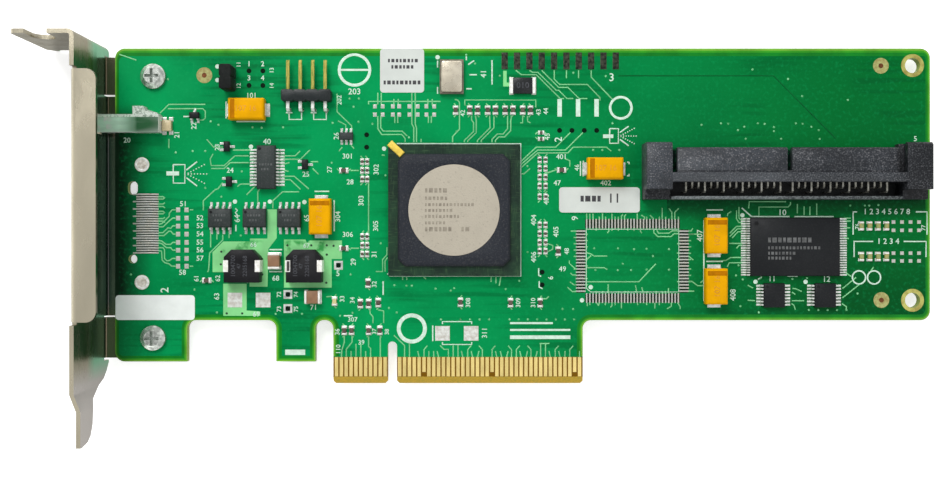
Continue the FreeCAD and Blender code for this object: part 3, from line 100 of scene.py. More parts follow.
class BoardSettings(PropertyGroup):
    """Colours and heights of the board's own surface layers."""
    mask: colour("Solder mask", "Mask over the inner copper planes, towards the bracket", (2, 152, 84))
    # The far tone is painted shade: the mask darkens towards the far end as the light falls off.
    mask_far: colour("Far mask", "Mask towards the far end", (0, 106, 42))
    mask_shade: colour("Mask shade", "Darker patches of the mask", (0, 104, 50))
    margin: colour("Margin", "Mask over bare laminate along the outline", (12, 132, 34))
    glow: colour("Glow", "Mask that lets light through next to the outline", (56, 160, 34))
    rim: colour("Rim", "Light that comes up through the outline", (122, 184, 60))
    laminate: colour("Laminate", "Cut edges of the board", (150, 168, 84))
    finger_gap: colour("Finger gap", "Bare laminate between the edge contacts", (118, 82, 14))
    trace: colour("Trace", "Mask over the outer copper traces", (134, 214, 150))
    pour: colour("Pour", "Mask over the outer copper areas", (140, 226, 146))
    legend: colour("Legend", "Printed component legend", (214, 240, 222))
    trace_width: length("Trace width", "Width of the common traces", 0.26)
    trace_height: length("Trace height", "How far a trace stands above the board", 0.03)
    legend_width: length("Legend width", "Stroke of the printed legend", 0.3)
    legend_height: length("Legend height", "Thickness of the printed legend", 0.035)
    margin_width: length("Margin width", "Copper-free margin along the outline", 1.3)
    glow_width: length("Glow width", "Brighter part of the margin", 0.7)
    rim_width: length("Rim width", "Bright line along the outline", 0.36)


class MetalSettings(PropertyGroup):
    """Colours of the plated and bare metals."""
    gold: colour("Gold", "Edge contacts and header pins", (255, 230, 146))
    tin: colour("Tin", "Tinned leads and pads", (236, 240, 234))
    worn_tin: colour("Worn tin", "Reflowed pads with no part on them", (196, 194, 182))
    bracket: colour("Bracket", "Nickel-plated bracket sheet", (168, 162, 146))
    screw: colour("Screw", "Plated screw heads", (240, 246, 238))
    slug: colour("Slug", "Blasted heat slug of the controller", (190, 182, 165))
    copper: colour("Copper", "Bare copper of the registration marks", (132, 78, 44))


class PartSettings(PropertyGroup):
    """Colours of the moulded, ceramic and paper parts."""
    mould: colour("Mould", "Black package compound", (34, 38, 46))
    memory_chip: colour("Memory chip", "Compound of the flash and logic chips", (20, 23, 26))
    power_chip: colour("Power chip", "Compound of the driver and the regulators", (50, 57, 56))
    port: colour("Port", "Textured plastic of the drive port", (63, 67, 73))
    tantalum: colour("Tantalum", "Moulded capacitor bodies", (236, 170, 2))
    tantalum_band: colour("Polarity band", "Printed band at the positive end", (188, 118, 0))
    ferrite: colour("Ferrite", "Shielded inductor bodies", (14, 13, 18))
    ceramic: colour("Ceramic", "Large ceramic capacitors", (150, 112, 82))
    small_part: colour("Small part", "Bodies of the small chip parts", (96, 82, 70))
    lamp: colour("Lamp", "Indicator lamp resin", (206, 190, 150))
    clear: colour("Clear plastic", "Light pipe", (214, 255, 228))
    paper: colour("Label", "Sticker face", (212, 218, 212))
    corner: colour("Corner mark", "Mark at the first corner of the controller", (246, 214, 84))


class StageSettings(PropertyGroup):
    """Floor, lights and camera."""
    floor: colour("Floor", "Plain pale floor", (236, 236, 234))
    lens: FloatProperty(name="Lens", description="Focal length of the camera", default=37.8, min=10.0,
                        max=200.0, subtype="DISTANCE_CAMERA", unit="CAMERA")
    camera_height: length("Camera height", "Camera above the component side", 202.0)
    camera_x: length("Camera X", "Middle of the view along the board", 15.45)
    camera_y: length("Camera Y", "Middle of the view across the board", 29.5)
    key_power: FloatProperty(name="Key light", description="Power of the soft key light", default=2.3,
                             min=0.0, unit="POWER")
    fill_power: FloatProperty(name="Fill light", description="Power of the soft fill light", default=0.5,
                              min=0.0, unit="POWER")


# ------------ tones and finishes

# Display colours, 0 to 255 a channel, of zones and patches that a user would hardly change. Many of them
# are painted shade, painted highlights and painted reflections.
TONES = {
    "mask_corner": (0, 82, 32), "mask_under_port": (6, 40, 24), "mask_by_bracket": (18, 44, 28),
    "mask_port_shadow": (8, 22, 18), "mask_mottle": (20, 172, 98), "finger_gap_edge": (196, 160, 62),
    "margin_by_bracket": (16, 40, 24), "pour_smudge": (44, 158, 70), "bracket_lip": (246, 236, 208),
    "bracket_inner": (116, 168, 140), "hollow_green": (18, 74, 40), "hollow_brown": (96, 80, 62),
    "deep_green": (22, 44, 36), "deep_grey": (42, 49, 62), "deep_rose": (116, 100, 104),
    "bracket_tongue": (162, 158, 156), "screw_recess": (176, 184, 176), "pipe_over_board": (40, 104, 60),
    "pipe_cracks": (236, 240, 232), "pipe_frost": (216, 232, 216), "pipe_edge": (252, 255, 250),
    "package_mask": (34, 62, 44), "package_mask_dark": (26, 46, 36), "package_weave": (90, 126, 80),
    "slug_specks": (116, 108, 98), "well": (34, 36, 37), "resistor_coat": (34, 36, 38),
    "header_plastic": (34, 40, 41), "jumper_cap": (8, 14, 12), "pale_part": (206, 198, 142),
    "tarnish": (66, 60, 58), "post_flash": (212, 196, 100), "post_shade": (132, 136, 56)}


class Finish(NamedTuple):
    """Two tones in patches, a range of roughness and a fine grain, with sizes in millimetres."""
    tone: object
    shade: object
    patch: float
    roughness: tuple
    grain: float
    depth: float
    metallic: float = 0.0
    specular: float = 0.5
    stretch: tuple = (1, 1, 1)
    shade_of: str = ""


# The finishes by the name of their material. A tone is a display colour or the name of a setting, and a shade
# is a display colour or a share of the tone or of the setting that shade_of names.
FINISHES = {
    "clearing_finish": Finish((176, 180, 112), (150, 138, 76), 0.6, (0.3, 0.5), 0.2, 0.02),
    "bare_copper_finish": Finish("copper", 0.45, 0.4, (0.3, 0.5), 0.2, 0.02, metallic=0.7),
    "ring_finish": Finish((196, 194, 104), (160, 148, 74), 1.2, (0.25, 0.5), 0.3, 0.03, metallic=0.4),
    "plug_finish": Finish((248, 244, 234), (184, 176, 160), 0.9, (0.25, 0.5), 0.8, 0.08, metallic=0.1),
    "plug_rim_finish": Finish((252, 254, 250), (214, 214, 206), 1.2, (0.2, 0.4), 0.4, 0.04, metallic=0.1),
    "gold_plate_finish": Finish("gold", 0.8, 2.2, (0.24, 0.42), 0.5, 0.01, metallic=0.45,
                                stretch=(2.5, 0.6, 1)),
    "tinned_finish": Finish("tin", 0.62, 0.9, (0.24, 0.45), 0.3, 0.03, metallic=0.4),
    "inner_joint_finish": Finish((6, 92, 44), (8, 104, 50), 4.0, (0.3, 0.45), 0.6, 0.01, specular=0.05),
    "trace_finish": Finish("trace", 0.72, 3.5, (0.3, 0.45), 0.6, 0.01),
    "pour_finish": Finish("pour", 0.8, 4.0, (0.3, 0.45), 0.6, 0.01),
    "via_shade_finish": Finish((18, 64, 34), (8, 40, 20), 0.4, (0.4, 0.6), 0.3, 0.02),
    # Dark discs of painted shade stand for the holes.
    "test_hole_finish": Finish((10, 34, 20), (4, 18, 12), 0.3, (0.4, 0.6), 0.2, 0.02, specular=0.05),
    "tented_via_finish": Finish((140, 214, 158), (70, 164, 98), 0.8, (0.3, 0.4), 0.3, 0.02),
    "legend_ink": Finish("legend", 0.82, 0.9, (0.5, 0.7), 0.3, 0.02),
    "worn_tin_finish": Finish("worn_tin", 0.62, 1.1, (0.25, 0.5), 0.4, 0.03, metallic=0.35, shade_of="tin"),
    "pad_bed_finish": Finish((34, 50, 36), (22, 38, 28), 0.9, (0.35, 0.5), 0.3, 0.01, specular=0.1),
    "pitted_pad_finish": Finish((66, 70, 56), (12, 20, 12), 0.7, (0.3, 0.6), 0.6, 0.1, metallic=0.6),
    "power_pad_finish": Finish("tin", (204, 200, 190), 0.7, (0.25, 0.5), 0.6, 0.06, metallic=0.3),
    "lamp_resin_finish": Finish("lamp", 0.8, 1.2, (0.2, 0.4), 0.4, 0.02),
    "etched_mark_finish": Finish((128, 120, 106), (158, 150, 134), 0.8, (0.5, 0.7), 0.3, 0.01),
    "corner_mark_finish": Finish("corner", 0.8, 1.2, (0.3, 0.45), 0.3, 0.02),
    "port_contact_finish": Finish((168, 168, 160), (116, 114, 104), 0.8, (0.25, 0.45), 0.3, 0.02,
                                  metallic=0.6),
    "chip_mark_finish": Finish((104, 106, 106), (70, 72, 72), 0.8, (0.5, 0.7), 0.3, 0.01),
    "small_chip_mark_finish": Finish((84, 88, 88), (62, 68, 67), 0.6, (0.5, 0.7), 0.3, 0.01),
    "tantalum_resin_finish": Finish("tantalum", 0.86, 3.0, (0.36, 0.5), 0.3, 0.01, specular=0.05),
    "polarity_band_finish": Finish("tantalum_band", 0.8, 1.0, (0.4, 0.55), 0.3, 0.01, specular=0.05),
    "burnt_number_finish": Finish((206, 138, 6), (222, 152, 10), 0.8, (0.5, 0.7), 0.3, 0.01),
    "stamped_number_finish": Finish((64, 66, 72), (48, 50, 56), 0.8, (0.5, 0.7), 0.3, 0.01),
    "ceramic_finish": Finish("ceramic", 0.8, 1.2, (0.35, 0.5), 0.2, 0.01),
    "small_part_finish": Finish("small_part", 0.55, 1.6, (0.35, 0.55), 0.2, 0.01),
    "end_cap_finish": Finish((255, 255, 252), (230, 228, 218), 0.6, (0.24, 0.42), 0.2, 0.03, metallic=0.05),
    "lamp_lens_finish": Finish((132, 160, 98), (176, 156, 92), 0.7, (0.14, 0.3), 0.3, 0.02),
    "oscillator_base_finish": Finish((120, 112, 96), (86, 80, 70), 1.0, (0.4, 0.6), 0.2, 0.02),
    "oscillator_can_finish": Finish((220, 212, 192), (186, 176, 156), 4.0, (0.22, 0.36), 0.8, 0.02,
                                    metallic=0.6),
    "sticker_finish": Finish("paper", 0.88, 6.0, (0.3, 0.42), 0.6, 0.02),
    # Painted light: the serial label's paper is painted paler than the other stickers'.
    "fresh_sticker_finish": Finish((242, 248, 244), (226, 232, 228), 6.0, (0.3, 0.42), 0.6, 0.02),
    "sticker_ink": Finish((44, 44, 46), (66, 66, 70), 0.8, (0.5, 0.7), 0.3, 0.01)}
for band in ("margin", "glow", "rim"):
    FINISHES[f"{band}_finish"] = Finish(band, 0.72, 4.0, (0.28, 0.42), 0.6, 0.01, specular=0.15)
# Where a finish's patches begin and end, how much finer its wear is, and how rich its noises are.
PATCH_EDGES = (0.35, 0.65)
WEAR_SHARE, WEAR_DETAIL, GRAIN_DETAIL = 0.6, 5.0, 4.0
# The board's shade by the bracket: across the board from the plate, and along its lower and upper end.
SHADE_ACROSS, SHADE_FOOT, SHADE_HEAD = (-55.6, -49.2), (13.0, 18.0), (52.5, 57.5)


# ------------ node recipes

def setting(name):
    """The value of a setting, from the group that holds it."""
    group = next(group for group, kind in SETTINGS.items() if name in kind.__annotations__)
    return getattr(getattr(bpy.context.scene, group), name)


def tone_of(source):
    """The linear values of a fixed tone or a setting given by name; a colour comes back as it is."""
    if not isinstance(source, str):
        return source
    return srgb(*TONES[source]) if source in TONES else setting(source)


def darker(source, share):
    return tuple(channel * share for channel in tone_of(source))


def start_material(name):
    """A material with its shader and its Object coordinates ready."""
    material = bpy.data.materials.new(name)
    material.use_nodes = True
    tree = material.node_tree
    shader = tree.nodes["Principled BSDF"]
    place = tree.nodes.new("ShaderNodeTexCoord").outputs["Object"]
    return material, tree, shader, place


def noise(tree, place, size, stretch=(1, 1, 1), detail=3.0):
    """Noise whose features are about size millimetres wide before the stretch."""
    mapping = tree.nodes.new("ShaderNodeMapping")
    mapping.inputs["Scale"].default_value = stretch
    texture = tree.nodes.new("ShaderNodeTexNoise")
    texture.inputs["Scale"].default_value = 1 / (size * MM)
    texture.inputs["Detail"].default_value = detail
    tree.links.new(place, mapping.inputs["Vector"])
    tree.links.new(mapping.outputs["Vector"], texture.inputs["Vector"])
    return texture.outputs["Fac"]


def cells(tree, place, size):
    """Distance to the nearest of cell centres about size millimetres apart, for small pits."""
    texture = tree.nodes.new("ShaderNodeTexVoronoi")
    texture.inputs["Scale"].default_value = 1 / (size * MM)
    tree.links.new(place, texture.inputs["Vector"])
    return texture.outputs["Distance"]


def split(tree, vector):
    """The X, Y and Z sockets of a vector, by letter."""
    node = tree.nodes.new("ShaderNodeSeparateXYZ")
    tree.links.new(vector, node.inputs["Vector"])
    return node.outputs


def facing(tree):
    """The X, Y and Z sockets of the surface's own direction."""
    return split(tree, tree.nodes.new("ShaderNodeNewGeometry").outputs["Normal"])


def spread(tree, value, low, high, to_low=0.0, to_high=1.0):
    """Map a value from one range to another and hold it there."""
    node = tree.nodes.new("ShaderNodeMapRange")
    for socket, number in (("From Min", low), ("From Max", high), ("To Min", to_low), ("To Max", to_high)):
        node.inputs[socket].default_value = number
    tree.links.new(value, node.inputs["Value"])
    return node.outputs["Result"]


def fade(tree, axis, start, end, to_low=0.0, to_high=1.0):
    """Spread a coordinate between two places in millimetres."""
    return spread(tree, axis, start * MM, end * MM, to_low, to_high)


def pattern(tree, place, size, low, high, to_low=0.0, to_high=1.0, **kind):
    """Spread noise of a size in millimetres."""
    return spread(tree, noise(tree, place, size, **kind), low, high, to_low, to_high)


def blend(tree, factor, first, second):
    """Mix two colours, each a socket, linear values or the name of a tone, by a socket."""
    node = tree.nodes.new("ShaderNodeMix")
    node.data_type = "RGBA"
    tree.links.new(factor, node.inputs["Factor"])
    for socket, source in ((node.inputs[6], first), (node.inputs[7], second)):
        if isinstance(source, bpy.types.NodeSocket):
            tree.links.new(source, socket)
        else:
            socket.default_value = (*tone_of(source), 1.0)
    return node.outputs[2]


def compute(tree, operation, first, second=0.0):
    """A math node on sockets or plain numbers."""
    node = tree.nodes.new("ShaderNodeMath")
    node.operation = operation
    for index, source in enumerate((first, second)):
        if isinstance(source, bpy.types.NodeSocket):
            tree.links.new(source, node.inputs[index])
        else:
            node.inputs[index].default_value = source
    return node.outputs["Value"]


def product(tree, *factors):
    """The product of sockets and plain numbers."""
    return reduce(lambda whole, factor: compute(tree, "MULTIPLY", whole, factor), factors)


def relief(tree, shader, height, depth, strength=1.0):
    """Drive the shader's normal from a height pattern that is depth millimetres deep."""
    node = tree.nodes.new("ShaderNodeBump")
    node.inputs["Distance"].default_value = depth * MM
    node.inputs["Strength"].default_value = strength
    tree.links.new(height, node.inputs["Height"])
    tree.links.new(node.outputs["Normal"], shader.inputs["Normal"])


def surface(tree, shader, tone, roughness, **sockets):
    """Give the shader its colour, its roughness and its fixed values."""
    tree.links.new(tone, shader.inputs["Base Color"])
    tree.links.new(roughness, shader.inputs["Roughness"])
    for socket, value in sockets.items():
        shader.inputs[socket.replace("_", " ")].default_value = value


def finish(name):
    """The two-tone finish of that name, made from its row of the table when it is first asked for."""
    if name in bpy.data.materials:
        return bpy.data.materials[name]
    row = FINISHES[name]
    tone = tone_of(row.tone) if isinstance(row.tone, str) else srgb(*row.tone)
    shade = darker(row.shade_of or tone, row.shade) if isinstance(row.shade, float) else srgb(*row.shade)
    material, tree, shader, place = start_material(name)
    patches = pattern(tree, place, row.patch, *PATCH_EDGES, stretch=row.stretch)
    wear = noise(tree, place, row.patch * WEAR_SHARE, row.stretch, WEAR_DETAIL)
    worn = spread(tree, wear, 0.3, 0.7, *row.roughness)
    surface(tree, shader, blend(tree, patches, tone, shade), worn, Metallic=row.metallic,
            Specular_IOR_Level=row.specular)
    relief(tree, shader, noise(tree, place, row.grain, row.stretch, GRAIN_DETAIL), row.depth)
    return material


def recolour(material, factor, tone):
    """Blend another colour over the one that a finished material already has."""
    tree = material.node_tree
    base = tree.nodes["Principled BSDF"].inputs["Base Color"]
    tree.links.new(blend(tree, factor, base.links[0].from_socket, tone), base)


def axes_place(tree):
    """The Object coordinates that a finished material already reads."""
    return next(node for node in tree.nodes if node.bl_idname == "ShaderNodeTexCoord").outputs["Object"]


def axes_of(material):
    """A finished material's tree and the X, Y and Z sockets of its Object coordinates."""
    tree = material.node_tree
    return tree, split(tree, axes_place(tree))


def inside(tree, axes, low, high, soft=0.3):
    """One inside a rectangle of X and Y in millimetres, fading out over a soft border."""
    return product(tree, *(fade(tree, axes[letter], start, end)
                           for letter, near, far in (("X", low[0], high[0]), ("Y", low[1], high[1]))
                           for start, end in ((near - soft, near), (far + soft, far))))


def bracket_shade(tree, axes):
    """How far the bracket's hollow darkens the board next to it: most in the middle, little at both ends."""
    return product(tree, fade(tree, axes["X"], *SHADE_ACROSS, 1.0, 0.0),
                   product(tree, fade(tree, axes["Y"], *SHADE_FOOT, 0.45, 1.0),
                           fade(tree, axes["Y"], *SHADE_HEAD, 1.0, 0.1)))


# ------------ modelling helpers

# Flat runs in the arc of a rounded corner.
ARC_STEPS = 5
# A number's text size beside its height, and how much its strokes are thickened.
FONT_SCALE, FONT_WEIGHT = 1.35, 0.012
# Points of a CAD copy nearer than this are merged, and faces flatter than this, in degrees, are joined.
MERGE_DISTANCE, FLAT_ANGLE = 0.002, 1.0


def clear_selection():
    bpy.ops.object.select_all(action="DESELECT")


def only(piece):
    """Make one object the active and only selected one."""
    clear_selection()
    piece.select_set(True)
    bpy.context.view_layer.objects.active = piece
    return piece


def settle(piece):
    """Put the piece's place into its mesh and its object at the origin."""
    only(piece)
    bpy.ops.object.transform_apply(location=True, rotation=True, scale=True)
    return piece


def mesh_from(piece):
    """Make a curve or text object a mesh and keep its place."""
    only(piece)
    bpy.ops.object.convert(target="MESH")
    return settle(bpy.context.view_layer.objects.active)


def box(name, centre, size):
    """A cube primitive brought to its size and place, both in millimetres."""
    clear_selection()
    bpy.ops.mesh.primitive_cube_add(size=1, location=Vector(centre) * MM)
    piece = bpy.context.object
    piece.name = name
    piece.scale = Vector(size) * MM
    return settle(piece)


def disc(name, radius, height, sides=24):
    """A cylinder standing at the origin, in millimetres."""
    clear_selection()
    place = Vector((0, 0, height / 2)) * MM
    bpy.ops.mesh.primitive_cylinder_add(vertices=sides, radius=radius * MM, depth=height * MM, location=place)
    piece = bpy.context.object
    piece.name = name
    return settle(piece)


def torus(name, middle, radius, half_width, rise, level):
    """A low ring lying on a level, in millimetres."""
    clear_selection()
    bpy.ops.mesh.primitive_torus_add(major_segments=40, minor_segments=6, major_radius=radius * MM,
                                     minor_radius=half_width * MM, location=Vector((*middle, level)) * MM)
    ring = bpy.context.object
    ring.name = name
    ring.scale.z = rise / half_width
    return settle(ring)


def edit_faces(piece, test):
    """Enter edit mode with just the faces selected whose polygon passes the test."""
    only(piece)
    bpy.ops.object.mode_set(mode="EDIT")
    bpy.ops.mesh.select_mode(type="FACE")
    bpy.ops.mesh.select_all(action="DESELECT")
    bpy.ops.object.mode_set(mode="OBJECT")
    for polygon in piece.data.polygons:
        polygon.select = test(polygon)
    bpy.ops.object.mode_set(mode="EDIT")


def leave_edit():
    bpy.ops.object.mode_set(mode="OBJECT")


def faces_up(polygon):
    return polygon.normal.z > 0.9


def faces_down(polygon):
    return polygon.normal.z < -0.9


def mound(name, rise, shoulder=0.25):
    """A one-millimetre pad at the origin whose roof is drawn in and lifted, as solder stands on it."""
    piece = box(name, (0, 0, 0), (1, 1, rise * 0.5))
    edit_faces(piece, faces_down)
    bpy.ops.mesh.delete(type="FACE")
    leave_edit()
    edit_faces(piece, faces_up)
    bpy.ops.mesh.inset(thickness=shoulder * MM, depth=rise * 0.5 * MM)
    leave_edit()
    return piece


def soften_edges(piece, width, segments=2, angle=40.0):
    """Round the sharp edges a little and shade by angle."""
    only(piece)
    modifier = piece.modifiers.new("edge_round", "BEVEL")
    modifier.width = width * MM
    modifier.segments = segments
    modifier.limit_method = "ANGLE"
    modifier.angle_limit = math.radians(angle)
    modifier.use_clamp_overlap = True
    bpy.ops.object.modifier_apply(modifier=modifier.name)
    bpy.ops.object.shade_smooth_by_angle(angle=math.radians(angle))
    return piece


def stamped(model, turns):
    """Copy a model by each matrix, with a mesh of its own, join the copies and remove the model."""
    pieces = []
    for turn in turns:
        piece = model.copy()
        piece.data = model.data.copy()
        piece.data.transform(turn)
        bpy.context.collection.objects.link(piece)
        pieces.append(piece)
    name = model.name
    bpy.data.objects.remove(model)
    return join(name, pieces)


def copies(model, places):
    """Stamp a model at each X, Y, Z and turn."""
    return stamped(model, [Matrix.Translation(Vector((x, y, z)) * MM)
                           @ Matrix.Rotation(math.radians(turn), 4, "Z") for x, y, z, turn in places])


def on_board(model, spots, rise=0.0):
    """Stamp a model at each X and Y, on the board or a little above it."""
    return copies(model, [(x, y, BOARD_TOP + rise, 0) for x, y in spots])


def join(name, pieces):
    clear_selection()
    for piece in pieces:
        piece.select_set(True)
    bpy.context.view_layer.objects.active = pieces[0]
    if len(pieces) > 1:
        bpy.ops.object.join()
    joined = bpy.context.view_layer.objects.active
    joined.name = name
    return joined


def line_curve(name, lines, closed=False):
    """A curve object of straight runs through points in millimetres."""
    data = bpy.data.curves.new(name, "CURVE")
    data.dimensions = "3D"
    for points in lines:
        spline = data.splines.new("POLY")
        spline.points.add(len(points) - 1)
        for target, (x, y) in zip(spline.points, points):
            target.co = (x * MM, y * MM, 0.0, 1.0)
        spline.use_cyclic_u = closed
    piece = bpy.data.objects.new(name, data)
    bpy.context.collection.objects.link(piece)
    return piece


def ridges(name, lines, width, height):
    """Low rounded ridges along straight runs: width and height in metres, half sunk in the board."""
    piece = line_curve(name, lines)
    piece.data.bevel_depth = width / 2
    piece.data.bevel_resolution = 1
    piece.data.use_fill_caps = True
    piece.location.z = BOARD_TOP * MM
    piece.scale.z = height / (width / 2)
    return mesh_from(piece)


def slab(name, outlines, height):
    """Flat areas on the board, of one height in metres, from closed outlines in millimetres."""
    piece = line_curve(name, outlines, closed=True)
    piece.data.dimensions = "2D"
    piece.data.fill_mode = "BOTH"
    piece.data.extrude = height / 2
    piece.location.z = BOARD_TOP * MM + height / 2
    return mesh_from(piece)


def rounded(corners):
    """Outline points from (x, y, radius) corners, each round one drawn as a short arc."""
    points = []
    count = len(corners)
    for index, (x, y, radius) in enumerate(corners):
        corner = Vector((x, y))
        if not radius:
            points.append((x, y))
            continue
        back = (Vector(corners[index - 1][:2]) - corner).normalized()
        ahead = (Vector(corners[(index + 1) % count][:2]) - corner).normalized()
        centre = corner + (back + ahead) * radius
        for step in range(ARC_STEPS + 1):
            turn = math.radians(90 / ARC_STEPS * step)
            points.append(tuple(centre - ahead * radius * math.cos(turn) - back * radius * math.sin(turn)))
    return points


def numerals(name, words, height, level=BOARD_TOP):
    """Plain numbers lying on a level; each is (digits, x, y, size, turn) with its middle at x, y."""
    rise = height * MM
    pieces = []
    for digits, x, y, size, turn in words:
        clear_selection()
        bpy.ops.object.text_add(location=(x * MM, y * MM, level * MM + rise / 2),
                                rotation=(0, 0, math.radians(turn)))
        piece = bpy.context.object
        piece.data.body = digits
        piece.data.size = size * MM * FONT_SCALE
        piece.data.align_x = "CENTER"
        piece.data.align_y = "CENTER"
        piece.data.extrude = rise / 2
        piece.data.offset = FONT_WEIGHT * MM * size
        piece.data.resolution_u = 2
        pieces.append(mesh_from(piece))
    return join(name, pieces)


def middle_of(low, high):
    return (low[0] + high[0]) / 2, (low[1] + high[1]) / 2


def lies_along_x(low, high):
    return high[0] - low[0] > high[1] - low[1]


def solid_boxes(node):
    """The low and high corner, in millimetres, of every separate solid in a CAD node."""
    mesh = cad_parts[node].data
    owner = {}

    def root(key):
        while owner[key] != key:
            owner[key] = owner[owner[key]]
            key = owner[key]
        return key

    keys = [tuple(round(value / MM, 3) for value in vertex.co) for vertex in mesh.vertices]
    for key in keys:
        owner.setdefault(key, key)
    for polygon in mesh.polygons:
        first = root(keys[polygon.vertices[0]])
        for index in polygon.vertices[1:]:
            owner[root(keys[index])] = first
    groups = {}
    for key in owner:
        groups.setdefault(root(key), []).append(key)
    return [(tuple(map(min, zip(*group))), tuple(map(max, zip(*group)))) for group in groups.values()]


def dress(piece, material, replaced=()):
    """Give a new piece its finish, its body and the CAD nodes that it stands for."""
    piece.data.materials.clear()
    piece.data.materials.append(material)
    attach(piece, BODY)
    if replaced:
        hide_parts(*replaced)
    return piece


def paint(node, material):
    """Give a CAD node a better material and leave its shape alone."""
    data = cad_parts[node].data
    data.materials.clear()
    data.materials.append(material)


def softened(node, width, material, segments=2, angle=40.0):
    """A copy of a CAD node with its edges rounded, which stands for the node."""
    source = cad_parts[node]
    piece = source.copy()
    piece.data = source.data.copy()
    piece.name = f"{node}_finished"
    bpy.context.collection.objects.link(piece)
    piece.hide_render = False
    only(piece)
    bpy.ops.object.mode_set(mode="EDIT")
    bpy.ops.mesh.select_all(action="SELECT")
    bpy.ops.mesh.remove_doubles(threshold=MERGE_DISTANCE * MM)
    bpy.ops.mesh.dissolve_limited(angle_limit=math.radians(FLAT_ANGLE))
    leave_edit()
    soften_edges(piece, width, segments, angle)
    return dress(piece, material, (node,))


# ------------ places on the board, in millimetres

# Corners of the outline from one side of the edge contacts round to the other: X, Y, radius and how wide the
# margin is along the next side, as a share of the margin's width.
MARGIN_RUN = [
    (39.15, 5.6, 0, 0.9), (39.15, 13.0, 1.7, 0.9), (110.6, 13.0, 2.0, 0.7), (110.6, 68.9, 2.0, 1.2),
    (-57.05, 68.9, 2.0, 0.6), (-57.05, 4.5, 2.0, 0.9), (-42.2, 4.5, 0, 0.9), (-42.2, 13.0, 1.7, 0.9),
    (-23.9, 13.0, 1.7, 0.9), (-23.9, 4.5, 0, 0.9), (-15.8, 4.5, 0, 0.9), (-15.8, 13.0, 1.7, 0.9),
    (-12.15, 13.0, 1.7, 0.9), (-12.15, 5.6, 0, 0.9)]

